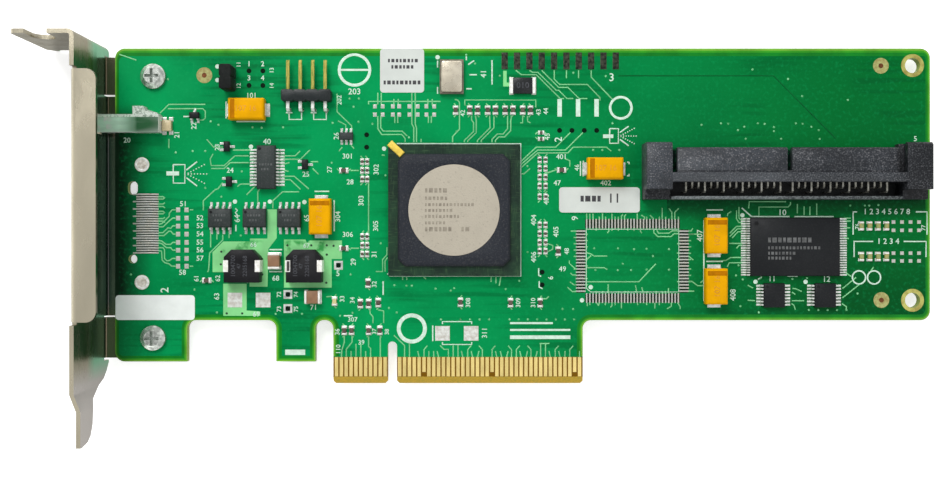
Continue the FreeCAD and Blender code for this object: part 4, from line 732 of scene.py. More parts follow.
# Outer copper traces, each a run of X, Y points.
TRACES = [
    # by the indicator lamp and the bracket
    [(-47.8, 55.6), (-46, 57.4), (-38.5, 57.4)], [(-46, 50.3), (-46, 48.4)], [(-56.2, 67.7), (-52.7, 66.5)],
    [(-46.2, 56.5), (-39, 56.5), (-38.5, 56), (-38.5, 54.6), (-38.9, 54.2), (-39.8, 54.2)],
    # round the driver chip and the three regulators
    [(-38.2, 50.2), (-36.8, 48.6), (-34.9, 48.6)], [(-32.8, 48), (-28.9, 48)],
    [(-29.6, 46.8), (-32.4, 46.8), (-34.6, 44.8), (-37.3, 44.8), (-37.5, 46.2), (-36.9, 47.2)],
    [(-29.6, 45.4), (-33.4, 45.4), (-34.6, 44.2), (-37.3, 44.2)], [(-28.9, 41), (-31.2, 41), (-31.9, 40.5)],
    [(-38.9, 35.6), (-38.9, 37.6), (-36.4, 39.9), (-35.9, 40), (-34.9, 41.3)], [(-30, 38.8), (-28.2, 40.6)],
    [(-27.7, 37), (-27.7, 39.4), (-27.2, 40.2)], [(-24.6, 36), (-24.6, 37.6), (-22.6, 39.4), (-19.2, 39.4)],
    [(-22.8, 46.1), (-18.9, 46.1), (-17, 48)], [(-22.8, 46.8), (-20, 46.8), (-19, 47.8)],
    [(-22.8, 42.6), (-20.2, 42.6), (-17.2, 40)], [(-22.8, 41.9), (-21, 41.9), (-18.9, 39.9)],
    [(-22.8, 45), (-21.2, 45.4)], [(-22.8, 44), (-21.4, 43.6)], [(-16.8, 45.6), (-15.3, 45.6)],
    [(-16.4, 44.2), (-15.2, 43)], [(-37.4, 31.5), (-37.4, 28)],
    [(-34.9, 30.6), (-34.9, 29.5), (-37.6, 26.8), (-37.8, 23.5), (-38, 22.9)], [(-36.1, 31.4), (-36.1, 29.6)],
    [(-33.6, 31.2), (-33.6, 29.9)],
    # from the indicator header to the small switch chip
    [(-11.4, 59.6), (-11.4, 55.9), (-8.4, 53), (-8.4, 52.2)], [(-9.6, 52.2), (-9.6, 53.2), (-11.2, 54)],
    [(-10.3, 48.6), (-11, 47.8)], [(-8.5, 49), (-7.9, 48.3)],
    # pairs between the square sticker and the controller
    [(-3, 59.8), (-3, 57.4)], [(-2.3, 59.8), (-2.3, 57.4)], [(-4.9, 57.4), (-4.9, 58), (9.9, 58)],
    [(-3, 55), (-3, 52.4), (-2.2, 51.2), (1.9, 51.2), (2.6, 50.4), (2.6, 49.6)],
    [(-2.4, 55), (-2.4, 52.6), (-1.9, 51.9), (2, 51.9), (3, 50.9)],
    [(4, 59.8), (4, 53.4), (4.4, 52.6), (4.4, 49.6)], [(4.7, 59.8), (4.7, 53.4), (4.95, 52.6), (4.95, 49.6)],
    [(0.3, 58.5), (0.3, 57.2)], [(1.2, 58.5), (1.2, 57.2)], [(7.3, 58.5), (7.3, 57.2)],
    [(8.2, 58.5), (8.2, 57.2)], [(0.5, 55), (0.5, 53.6)], [(1.1, 55), (1.1, 53.6)], [(7.4, 55), (7.4, 53.6)],
    [(8, 55), (8, 53.6)], [(5.9, 50.3), (5.9, 49.6)],
    [(12.8, 58.4), (13.4, 58.3), (13.8, 57.8), (13.8, 52.3), (12.4, 50.8), (12.4, 49.6)],
    [(14.9, 57.2), (14.9, 58.3), (29.5, 58.3), (29.5, 56.8)],
    [(16.3, 55.1), (16.3, 54.2), (16.7, 53.6), (16.7, 51.8), (14.8, 50), (14.8, 49.6)],
    [(17.1, 55.1), (17.25, 54), (17.25, 51.6), (15.5, 49.9), (15.5, 49.6)],
    [(20, 55.1), (20.1, 52.6), (17.5, 50), (17.5, 49.6)],
    [(20.9, 54.9), (20.9, 52.6), (18.3, 50), (18.3, 49.6)],
    [(23.7, 55.1), (23.7, 52.4), (22.8, 51.3), (21.6, 51.3), (20.5, 50.2), (20.5, 49.6)],
    [(24.5, 55.1), (24.35, 54), (24.35, 52), (23.1, 50.7), (21.9, 50.7), (21.2, 50), (21.2, 49.6)],
    [(26.8, 55), (26.8, 53.6), (26.3, 53.6)], [(27.8, 55), (27.8, 53.9), (28.4, 53.6)],
    # from the row of ten pads
    [(25.4, 64.4), (26.5, 63.5), (29.6, 63.5), (34.5, 58.6), (35.3, 58.6)],
    [(28.2, 64.4), (28.8, 64), (29.9, 64), (33.7, 60.3), (34.2, 60.3), (35.9, 58.6), (37.2, 58.6)],
    [(30.7, 64.4), (34.2, 60.9), (36.1, 60.9), (38.4, 58.6), (40.1, 58.6)], [(35.8, 64.4), (35.8, 62.8)],
    [(33.3, 64.4), (33.3, 62.6), (34.4, 61.5), (40.1, 61.5), (42.7, 58.8), (42.7, 58.2)],
    [(38.3, 64.4), (38.3, 62.8)], [(40.9, 64.4), (40.9, 63), (45.3, 58.4)],
    # right of the controller
    [(26.4, 45.6), (29.6, 48.6), (33.6, 48.6), (36.6, 51.6)],
    [(26.4, 45), (29.9, 48), (35.6, 48), (39.2, 51.6)],
    [(26.4, 44.3), (29.9, 47.4), (36.1, 47.4), (37.2, 48.6), (44, 48.6), (45, 47.8)],
    [(26.5, 43.1), (27.1, 43.1), (28.3, 44.2)], [(35.6, 46.2), (36.5, 45.8), (36.5, 44.6)],
    [(31.6, 43.2), (33.6, 43.9)], [(31, 29), (33, 28.4), (33, 27.6), (31, 26.6)],
    # left of and below the controller
    [(-3.4, 23), (-2, 23), (-2, 25.5), (-1.1, 26.5), (-1.1, 28)], [(-1.5, 23), (-1.5, 25.2), (-1, 25.9)],
    [(-8.6, 43.8), (-6.9, 43.8)], [(-8.6, 27.8), (-6.9, 27.8)], [(-4.9, 41.6), (-4.9, 31)],
    [(-2.2, 47), (-1.6, 46.9)], [(20.3, 22), (20.3, 20.9)], [(21.3, 22), (21.3, 20.6)],
    [(22.3, 22), (22, 20.1)], [(2.1, 21.9), (2.1, 21.3)], [(2.9, 21.9), (3, 21.3)],
    [(6.4, 21.9), (6.9, 21.5)], [(-13.6, 17.8), (-12.4, 17.9)], [(31, 17.4), (31.7, 17.4), (32.2, 17.9)],
    [(-4.6, 15.4), (-4.6, 14.4), (-4, 13.7), (-4, 12.4)], [(-2.9, 15.1), (-1.8, 14.9), (-1.8, 12.4)],
    # the edge contacts' traces that go further than a short stub
    [(-10.5, 5.3), (-10.4, 6.9), (-9.9, 8.4), (-9.9, 9.8)],
    [(-9.5, 5.3), (-9.5, 7), (-8.3, 8.5), (-8.3, 9.8)], [(-4.5, 5.3), (-4.5, 7.2), (-4.9, 7.6), (-4.9, 9.6)],
    [(-2.5, 5.3), (-2.5, 9.6)], [(2.5, 5.3), (2.5, 7.8), (0.3, 9.9)],
    [(11.5, 5.3), (11.5, 7), (10.6, 7), (9.8, 7.8)], [(30.3, 8.2), (32.3, 8.2)],
    # from the row of fine pads by the bracket to the eight pad pairs
    [(-48.1, 32.7), (-47.4, 32.9), (-45.9, 34.4), (-45.9, 35), (-45.3, 35.7), (-44.6, 35.7)],
    [(-48.1, 32.2), (-47.2, 32.2), (-45.6, 33.7), (-45.2, 34), (-44.6, 34)],
    [(-48.1, 31), (-47.2, 31), (-46.2, 32), (-45.6, 31.9), (-45.2, 32.4), (-44.6, 32.4)],
    [(-48.1, 30.4), (-47, 30.4), (-46, 31.3), (-45.6, 31.3), (-45.1, 30.7), (-44.6, 30.7)],
    [(-48.1, 29.4), (-47.5, 29.3), (-46.6, 28.6), (-45.6, 28.6), (-45.2, 29), (-44.6, 29)],
    [(-48.1, 28.9), (-47.4, 28.7), (-46.5, 27.9), (-45.6, 27.9), (-45.2, 27.4), (-44.6, 27.4)],
    [(-48.1, 27.9), (-47.2, 27.9), (-46.9, 27.5), (-46.9, 25.7), (-46.4, 25.2), (-45.8, 25.3), (-45.3, 25.7),
     (-44.6, 25.7)],
    [(-48.1, 27.3), (-47.5, 27.2), (-47.4, 25.4), (-46.8, 24.8), (-46, 24.6), (-45.4, 24.1), (-44.6, 24.1)],
    [(-41.7, 35.7), (-41, 35.7)], [(-41.7, 24.1), (-41, 24.1)],
    # round the empty four-sided footprint
    [(39.9, 20.9), (50.7, 20.9), (54.2, 24.6)], [(39.9, 26.9), (40.9, 26.6), (41.5, 26.2), (44.2, 26.2)],
    [(39.9, 23.8), (43.6, 23.8), (44.2, 23.4)], [(39.9, 25.4), (40.9, 26.3)],
    [(36.4, 25.3), (36.4, 24.7), (37.6, 23.6), (38, 23.6)], [(36.6, 22.7), (37.1, 22.3), (37.8, 22.3)],
    [(36.5, 20.9), (37.3, 20.3), (37.8, 20.3)], [(36, 19.8), (37, 18.9), (37.8, 18.9)],
    [(60.9, 31.4), (61.5, 31.4), (61.8, 31.9)], [(60.9, 30.7), (63.4, 30.7)],
    [(53.8, 31.6), (53.8, 31), (54.6, 30.2), (57.3, 30.2), (58, 30.8), (58.9, 30.8)],
    [(54.4, 31.6), (54.7, 30.9), (56.9, 30.9), (57.6, 31.4), (58.9, 31.4)], [(60.9, 26.2), (61.9, 25.4)],
    [(60.9, 21), (61.6, 21), (62.8, 20.1), (63.9, 20.1)], [(63.4, 20.7), (64, 21.2)],
    [(55.5, 33.7), (55.5, 36.1)], [(57.5, 33.7), (57.5, 35.2), (56.9, 36)],
    [(58.1, 33.7), (58.1, 35.2), (58.9, 36)], [(53, 34.6), (53.8, 33.8)],
    [(51.9, 33.7), (51.9, 34.2), (51.2, 34.6)], [(44.4, 18.6), (44.4, 20.4)], [(50.3, 18.6), (50, 20.2)],
    [(51.6, 18.6), (51.3, 19.8)], [(56.8, 18.6), (56.8, 19.6)], [(54, 16.6), (54, 15.4)],
    [(57.4, 16.6), (57.4, 15.9), (56.5, 15.3)], [(58.7, 16.6), (59.2, 15.8), (59.2, 15.3)],
    [(40.1, 16.6), (40.1, 15.9)], [(42, 16.6), (42.4, 16)],
    # round the flash chip
    [(68.9, 34.4), (69, 34.9), (69.7, 35.4)], [(70.8, 35.6), (70.8, 33.9), (71.3, 33.1), (72, 33.1)],
    [(71.3, 36.3), (71.3, 34), (71.8, 33.6), (72.4, 33.6)],
    [(75.4, 34.4), (75.4, 36.3), (81.4, 36.3), (81.9, 36.8), (81.9, 37.3)],
    [(73.3, 36), (73.4, 37.4), (81, 37.4)], [(69.4, 30.9), (70.8, 32.3), (72, 32.3)],
    [(69.4, 30.2), (71, 31.8), (72, 31.8)], [(69.9, 29.9), (71.1, 31.2), (72, 31.2)],
    [(69.3, 28.8), (72, 28.8)], [(70.8, 27.8), (71.3, 28.4), (72, 28.4)],
    [(67.3, 25.2), (68.6, 25.3), (69.6, 25.9), (72, 25.9)], [(68.9, 24), (69.3, 24.8), (72, 24.8)],
    [(92.9, 34), (94.3, 34)], [(92.9, 33.4), (94.3, 33.4)], [(92.9, 32), (94.2, 32)],
    [(92.9, 30), (93.9, 29.8)], [(92.9, 23), (94.4, 22)], [(83.3, 36.9), (83.3, 35)],
    [(84.7, 36.4), (84.7, 34.6)], [(85.9, 36.4), (85.9, 34.6)], [(87.3, 37), (87.3, 34.6)],
    # round the two logic chips and the lamps
    [(92.6, 19.5), (95.4, 21.8)], [(92.6, 17.6), (96.4, 20.6)], [(92.5, 16.4), (93.4, 15.8), (93.4, 15.2)],
    [(82.3, 19.5), (82.9, 19.5), (84.2, 18.9)], [(82.2, 17), (84.7, 17)],
    [(82.1, 16.4), (82.6, 16.1), (82.9, 15.2)], [(82.2, 18.8), (82.9, 18.3)], [(73.1, 20.2), (74.2, 19.6)],
    [(73.1, 17.1), (74.6, 17)], [(99, 23.9), (98.4, 23.1)]]

CONTACT_PITCH = 1.0
# One letter an edge contact: s and t are short and tall stubs, l and r lean, L and R end in a hook.
STUBS_BEFORE_KEY = (-11.5, "...stts....")
STUBS_AFTER_KEY = (1.5, "..t.lRssl..ttlRlrL.RllrLRlrLrttlRlsR.s")
STUB_SHAPES = {
    "s": [(0, 0), (0, 1.3)], "t": [(0, 0), (0, 2.8)], "l": [(0, 0), (-0.3, 1.3)], "r": [(0, 0), (0.3, 1.3)],
    "L": [(0, 0), (0, 1.6), (-0.7, 2.4)], "R": [(0, 0), (0, 1.6), (0.7, 2.4)]}
# The same letters for the empty four-sided footprint, smaller, by side and direction along X or Y.
FOOTPRINT_STUBS = [
    ("top", 1, "ttt.sts.tssRR...t..s...s.s...s"), ("top", -1, "...s...Ls.s..s.s.R............"),
    ("bottom", 1, "...s.s....s.rr.....s..s.ll...."), ("bottom", -1, ".s..l.l.Ls.t....r..s...s......"),
    ("left", -1, "..s..s.s...s.s.s.s.t"), ("left", 1, "..s.s...s.s...s.s.s."),
    ("right", 1, "t..s.s.s..s.s.s.s.ts"), ("right", -1, "...s......r.s..s...s")]
FOOTPRINT_STUB_SCALE = 0.42

# Outlines of the outer copper areas.
POURS = [
    [(-37, 22.9), (-37, 27), (-34.8, 29.2), (-29.3, 29.2), (-29.3, 29.8), (-25.7, 29.8), (-25.7, 35.8),
     (-23.8, 35.8), (-23.8, 29.9), (-25.5, 27.7), (-25.7, 19.9), (-29.4, 19.9), (-29.4, 22.9)],
    [(-34.8, 13.9), (-34.8, 20.5), (-30, 20.5), (-30, 15), (-27.2, 14.8), (-27.2, 13.9)],
    [(-22.3, 19.7), (-22.3, 29.6), (-17.9, 29.6), (-17.6, 28.9), (-17, 29.4), (-10.4, 29.4), (-10.4, 25.6),
     (-12.5, 25.6), (-12.5, 19.7)],
    [(22.8, 64.3), (23.5, 64.3), (23.5, 61.9), (24.2, 61.9), (24.2, 61.1), (22.8, 61.1)]]
# Where the copper areas take patches of painted soft shade, above the two inductors: low and high corner.
SHADED_POURS = [((-34.6, 27.4), (-27.2, 29.0)), ((-21.6, 27.4), (-14.2, 29.0))]
# Vias in the copper areas.
POUR_HOLES = [(-35.2, 27.1), (-35.3, 24.5), (-13.5, 28.4), (-13.5, 26.5), (-16.7, 28.4), (-12.1, 28.3),
              (-13.6, 20.7), (-34.1, 14.4), (-30.9, 14.4), (-21.6, 28.4), (-26.8, 25.6), (-26.8, 22.4)]

# Printed lines, each a run of X, Y points.
LEGEND_LINES = [
    [(0.9, 49.3), (26.4, 49.3), (26.4, 22.1), (-0.5, 22.1), (-1, 22.6)], [(-34.2, 58), (-34.2, 54.5)],
    [(-32.1, 53.9), (-26.2, 53.9)], [(-16, 39.5), (-13, 39.5)], [(-12, 37.7), (-12, 31.3)],
    [(38.7, 45.7), (38.7, 42.7)], [(39.3, 45.8), (39.3, 42.6)], [(48.3, 45.5), (48.7, 45.5), (48.7, 45.1)],
    [(48.3, 42.7), (48.7, 42.7), (48.7, 43.1)], [(64.6, 35.7), (68, 35.7)], [(64.1, 33.6), (64.1, 17)],
    [(64.6, 25.1), (68, 25.1)], [(10.3, 12.2), (10.3, 12.7), (16.3, 12.7), (16.3, 12.2)],
    [(10.3, 8.5), (10.3, 8), (16.3, 8), (16.3, 8.5)], [(8.3, 11.9), (8.3, 8.7)], [(9.3, 66.4), (9.3, 65)],
    [(9.3, 61), (9.3, 59.6)], [(15.2, 67.3), (15.2, 66.5)], [(15.2, 60.6), (16.3, 60.6)],
    [(15.6, 65.6), (16.8, 66.4)], [(20.5, 66.5), (20.5, 61.5)], [(73.9, 34.3), (81.7, 34.3)],
    [(82.7, 34.3), (90.8, 34.3)], [(71.9, 36.1), (73.9, 34.3)], [(94.8, 30.6), (94.8, 35.3), (95.6, 35.3)],
    [(107.7, 35.3), (110, 35.3), (110, 30.6)], [(95, 26), (95, 29.2), (98.9, 29.2)],
    [(105.2, 29.2), (109.8, 29.2), (109.8, 26)],
    # connector outline marks: a plain box with a bar across it
    [(-45.1, 45), (-42.7, 45), (-42.7, 41.2), (-45.1, 41.2), (-45.1, 45)],
    [(44.7, 52.4), (46.5, 52.4), (46.5, 49.4), (44.7, 49.4), (44.7, 52.4)], [(-42.4, 43.9), (-40.2, 45.6)],
    [(-42.4, 42.3), (-40.2, 40.6)], [(46.8, 51.6), (48.6, 52.9)], [(46.8, 50.2), (48.6, 48.9)],
    # indicator header polarity marks
    [(-21.9, 55.7), (-20.6, 55.7)], [(-21.25, 55.7), (-21.25, 54.3), (-18.7, 54.3), (-18.7, 55.7)],
    [(-16.2, 55.7), (-16.2, 54.3), (-13.6, 54.3), (-13.6, 55.7)], [(-16.8, 55.7), (-15.6, 55.7)],
    [(-32.3, 36), (-31.9, 35.6), (-32.3, 35.1), (-31.9, 34.6)], [(-32.2, 32.6), (-32.2, 31.3)],
    [(-1.9, 18.2), (-1.9, 21)], [(-8.2, 13.9), (-10, 13.9)], [(-43, 54.9), (-41.6, 54.9)],
    [(-28.9, 23.4), (-29.9, 20.7)], [(30.1, 23.7), (30.1, 22.2), (30.6, 22)],
    [(30.2, 21), (30.2, 19.8), (30.9, 19.5)], [(76, 21.9), (75.2, 21.4)], [(81.3, 22.1), (83.4, 22.1)],
    [(-25.3, 27.5), (-22.7, 27.5)], [(-25.3, 23), (-22.7, 23)]]
# How high the printed bars and dots and the plain numbers stand.
PRINT_RISE, NUMBER_RISE = 0.03, 0.025
# The thin outline inside the empty four-sided footprint.
FINE_LEGEND = [[(39.9, 19.6), (39.9, 31.7), (58.9, 31.7), (58.9, 18.8), (40.8, 18.8), (39.9, 19.6)]]
# Plain bars: middle, length along X and width along Y.
LEGEND_BARS = [
    (-45.2, 43.2, 2.6, 0.85), (44.4, 50.85, 2.1, 0.75), (-7.8, 64.5, 6.3, 0.4), (-20.0, 6.4, 4.1, 1.1),
    (28.6, 12.4, 8.8, 0.4), (30.4, 11.0, 12.4, 0.4), (30.4, 9.5, 12.4, 0.75), (34.4, 56.7, 0.9, 3.6),
    (38.2, 56.7, 0.9, 3.6), (42.0, 56.7, 0.9, 3.6)]
# Where the dotted lines of each connector mark start, and how far the middle one runs.
CONNECTOR_FANS = [(-42.3, 43.1, 4.4), (46.8, 50.9, 3.6)]
FAN_TURNS = (-28, 0, 28)
FAN_DOTS = 7
# Plain rings: middle, radius and stroke.
LEGEND_RINGS = [
    (96.0, 21.8, 1.35, 0.3), (99.1, 21.8, 1.35, 0.3), (-7.8, 64.5, 3.15, 0.6), (4.0, 11.3, 2.7, 0.8),
    (47.0, 56.7, 2.2, 0.5)]
FIRST_PIN_DOTS = [
    (-29.1, 48.7), (-32.4, 37.4), (-25.2, 37.4), (-18.1, 37.3), (-1.7, 48.3), (40.8, 19.8), (39, 17.1),
    (72, 34.6), (74.7, 20.9), (85, 20.9), (9.3, 67.1), (-36, 65.2), (-36, 62.4)]

# Rows of short plain marks on a part's top: first X, Y, length of the row and height of its marks.
MARK_ROWS = {
    "controller_heat_slug": [
        (6.8, 39.6, 4.6, 0.9), (6.8, 38.0, 4.6, 0.7), (6.8, 36.7, 9.6, 0.6), (6.8, 35.5, 5.7, 0.6),
        (6.8, 34.3, 6.8, 0.6), (6.8, 33.0, 3.7, 0.6), (6.8, 31.7, 4.9, 0.9), (14.2, 31.7, 1.7, 0.9)],
    "flash_chip_body": [
        (77.0, 29.5, 8.6, 1.0), (77.0, 27.9, 10.6, 0.6), (77.0, 26.8, 5.6, 0.6), (77.0, 25.8, 4.4, 0.6)],
    "square_label": [(-0.9, 66.4, 5.8, 0.7), (-0.2, 65.1, 4.6, 0.7), (-1.8, 61.9, 7.6, 0.8)],
    "port_label": [(38.7, 38.0, 4.4, 1.2)]}
# How long a mark is beside its height, in turn, and how high a mark stands.
MARK_LENGTHS = (0.55, 0.9, 0.7)
MARK_RISE = 0.012

# Plain numbers beside the parts, by height and turn: digits, X and Y.
NUMBER_GROUPS = {
    (1.1, 0): [
        ("1", -29.5, 65.7), ("2", -26.7, 65.7), ("3", -29.5, 62.8), ("4", -26.7, 62.8), ("101", -29, 59.2),
        ("20", -54.6, 50), ("24", -33.4, 43.8), ("25", -17.8, 43), ("301", -9.2, 46.7), ("28", -8.7, 41.4),
        ("306", -9.2, 30.6), ("401", 34.8, 46.6), ("402", 43.9, 41.2), ("47", 33.9, 41.2), ("49", 35, 23.5),
        ("51", -43, 36.9), ("52", -39.6, 34), ("53", -39.6, 32.4), ("54", -39.6, 30.7), ("55", -39.6, 29),
        ("56", -39.6, 27.4), ("57", -39.6, 25.7), ("58", -43.2, 22.8), ("68", -24, 21.6), ("69", -28, 14.2),
        ("71", -16.2, 15.6), ("5", 107.6, 50.3)],
    (1.2, 0): [
        ("40", -25.8, 49.7), ("5", -11.2, 22.6), ("11", 78.1, 21.5), ("12", 89.3, 21.4),
        ("1 2 3 4 5 6 7 8", 101.7, 35.3), ("1 2 3 4", 102, 29.2)],
    (1.0, 0): [("307", -8.2, 13.1), ("39", -6.4, 8.4), ("66", -28.6, 28.5), ("67", -17.7, 28.3)],
    (1.3, 0): [("203", -7.8, 60), ("10", 80.2, 35.1)],
    (1.7, 0): [("3", 45.1, 62.9)],
    (1.0, 90): [
        ("23", -36, 48.6), ("202", -10.9, 58.3), ("27", -12.9, 44), ("32", -3.7, 20.4), ("33", -10.3, 17.4),
        ("34", -8.2, 17.1), ("35", -3, 17), ("36", -11.3, 10.6), ("110", -11.1, 7), ("308", 15.6, 16.6),
        ("309", 25.9, 16.6), ("310", 29, 16.6), ("42", 14.5, 55.6), ("43", 30.1, 55.8), ("44", 31.6, 56),
        ("46", 38, 44.4), ("48", 35.9, 27.2), ("61", -40.3, 21.6), ("62", -35.9, 21.6)],
    (1.1, 90): [
        ("21", -44.3, 51.2), ("22", -40.8, 53), ("26", -11.5, 50.9), ("302", -3.3, 44), ("303", -6.4, 37.6),
        ("304", -11.2, 34.3), ("305", -3.4, 32.4), ("29", -8, 25), ("31", -3.7, 26.6), ("311", 19, 10.4),
        ("45", 31.9, 50.8), ("403", 31.7, 37.9), ("404", 29.1, 33.6), ("405", 33.7, 31.2), ("406", 29.1, 26),
        ("6", 32.6, 21.7), ("63", -36.1, 17.9), ("65", -17.6, 34)],
    (0.9, 90): [
        ("11", -31.6, 65.6), ("12", -31.6, 61.2), ("13", -24.8, 64.4), ("14", -24.8, 61.2),
        ("37", -3.7, 10.7), ("38", -1.1, 10.6), ("72", -23.3, 18.3), ("73", -23.3, 15.3), ("74", -19.8, 18.3),
        ("75", -19.8, 15.3), ("76", 95.7, 32.3), ("77", 109.3, 32)],
    (1.2, 90): [("41", 18.8, 63.7), ("64", -31.9, 33.9), ("407", 63.3, 30.4), ("408", 70.1, 18.2)],
    (1.6, 90): [("1", 16.7, 63.5), ("2", 34.2, 50.2)],
    (1.4, 90): [("9", 37.6, 34)],
    (1.7, 90): [("2", -46.8, 19.2)]}
LEGEND_NUMBERS = [(digits, x, y, size, turn) for (size, turn), words in NUMBER_GROUPS.items()
                  for digits, x, y in words]

# Covered vias, and rows of them: from, to and number along X, and their Y.
VIAS = [
    (63.6, 53.2), (67.6, 53.5), (69.1, 53.4), (72.4, 52.8), (71.1, 52.1), (75.2, 53.5), (76.6, 53.4),
    (78.5, 52.7), (78.5, 51.9), (83, 53.5), (84.4, 53.4), (86.2, 52.8), (87.7, 52.1), (72.7, 50.3),
    (80, 50.3), (87.9, 50.3), (74.1, 64.6), (81.4, 62.6), (84.3, 59.1), (93.7, 58.3), (45.3, 53.5),
    (41.3, 48), (43.2, 48), (46.7, 48), (41.5, 27.8), (46.4, 27.8), (49.7, 27.6), (47.4, 24.6), (46.4, 23.3),
    (49.1, 23.3), (41.8, 23.3), (52.3, 27.7), (56.9, 27.6), (53.6, 26.2), (52.3, 23.4), (56.9, 23.4),
    (8.9, 19.5), (12.7, 19.6), (12, 19.1), (0.4, 20.2), (2.9, 20.1), (4, 20.1), (23.3, 19.4), (26.1, 21.1),
    (35, 15.3), (37.2, 15.3), (-0.7, 15.5), (0.9, 14.6), (-8.2, 14.5), (-10.8, 13.9), (27.8, 27),
    (71.2, 24.3), (72.1, 21.4), (70.7, 22.2), (71.6, 15.9), (75.4, 14.6), (75.7, 21.6), (82.3, 21.5),
    (95.7, 18.5), (97.2, 36.6), (98.1, 36.6), (100, 36.7), (94.2, 36.6), (85.3, 21.7), (-41.1, 47.8),
    (-38.5, 47.8), (-44.6, 47.5), (-35.8, 53.2), (-37.4, 53.9), (-28.8, 52.7), (-26.9, 52.6), (-22.5, 52.7),
    (-38.5, 40.2), (-35.2, 38.4), (-36.1, 14.6), (-40.7, 19.3), (-53.8, 22.4), (-31.2, 30.4), (-12.3, 53.6),
    (-7, 53.8), (-8.8, 58.6), (-6.9, 58.6), (-8, 56.9), (-46.2, 62.6), (-12.5, 45.4), (-1.4, 42.8),
    (-2.4, 28.8), (-8.6, 22.4), (-4.1, 53.4), (3.4, 50.6), (17, 65.8), (15.2, 67.6), (22.1, 63.3),
    (37.2, 63.9), (43.9, 63.2), (27.8, 44.7), (13.2, 51.8), (-24, 14.3), (-18.6, 14.3), (-31, 43.6)]
VIA_ROWS = [
    ((10.0, 14.0, 2), 13.15), ((14.0, 19.9, 4), 13.15), ((24.1, 37.4, 8), 13.15), ((85.7, 93.4, 5), 15.1)]

# Rows of bare pads: where they stand, how many there are, and a pad's length and width.
FINE_PAD_ROW = {"x": -50.4, "low": 26.85, "high": 38.9, "count": 25, "length": 4.6, "width": 0.28}
# Every third pad of the fine row is a little longer.
LONG_PAD_EVERY, LONG_PAD_EXTRA = 3, 0.7
# Pads in pairs: their rows and columns by the bracket, above the controller and at the empty lamp places.
PAIR_LEVELS = [35.7, 34.0, 32.35, 30.7, 29.0, 27.4, 25.7, 24.1]
PAIR_X = (-44.1, -42.35)
TOP_PAIR_X = [-3.6, -2.0, 0.1, 1.4, 3.5, 5.2, 7.0, 8.6]
TOP_PAIR_Y = (57.0, 55.3)
LAMP_PAIR_X = [103.1, 104.85, 106.6, 108.35]
LAMP_PAIR_Y = [(33.2, 31.5), (26.8, 25.2)]
EDGE_PAD_ROW = {"x": 23.1, "pitch": 2.54, "count": 10, "y": 66.35, "length": 1.3, "width": 3.5}
SQUARE_FOOTPRINT = {"pitch": 0.65, "x": 49.4, "y": 25.15, "long_count": 30, "short_count": 20,
                    "rows_y": (32.85, 17.55), "rows_x": (38.75, 60.0), "length": 2.0, "width": 0.27}
TEST_POINT_PADS = [(-21.5, 18.3), (-21.5, 15.4), (-11.1, 24.3)]
TEST_HOLES = [(-5.3, 51.15), (-5.3, 48.6), (30.8, 22.9), (30.8, 20.3), (-29.5, 64.3), (-26.65, 64.3),
              (-29.5, 61.3), (-26.65, 61.3), (34.4, 52.05), (36.94, 52.05), (39.48, 52.05),
              (42.02, 52.05)] + TEST_POINT_PADS
REGISTRATION_MARKS = [(-38.7, 63.4), (100.5, 65.35), (100.6, 17.15)]

# Nodes whose leads and whose ends stand on pads of solder.
CHIP_LEADS = ("flash_chip_leads", "driver_chip_leads", "logic_chip_leads", "regulator_leads",
              "switch_chip_leads", "transistor_leads")
PADDED_ENDS = ("chip_part_end_caps", "ceramic_end_caps", "status_lamp_ends", "tantalum_terminals",
               "sense_resistor_ends", "indicator_terminals")


# ------------ board

# Low and high corner of the board area that the drive port's gaps and overhang keep dark.
PORT_SHADOW = ((57.4, 43.0), (107.0, 47.9))
# The painted shadow that the drive port casts on the mask: its left and upper limit, and where it starts
# and stops to darken.
UNDER_PORT_LEFT, UNDER_PORT_TOP, UNDER_PORT_FADE = 56.5, 45.0, (33.5, 38.0)
# A surface whose direction is less upright than this is a cut edge.
FLAT_LIMIT = 0.985
# The bands along the outline, each narrower and higher than the one before: setting and height.
MARGIN_BANDS = (("margin", 0.008), ("glow", 0.012), ("rim", 0.016))
BAND_START = 0.03
# The rim of a solder plug: how far inside the plug's edge it runs, half its width and its height.
PLUG_RIM_INSET, PLUG_RIM_HALF, PLUG_RIM_RISE = 0.28, 0.24, 0.07


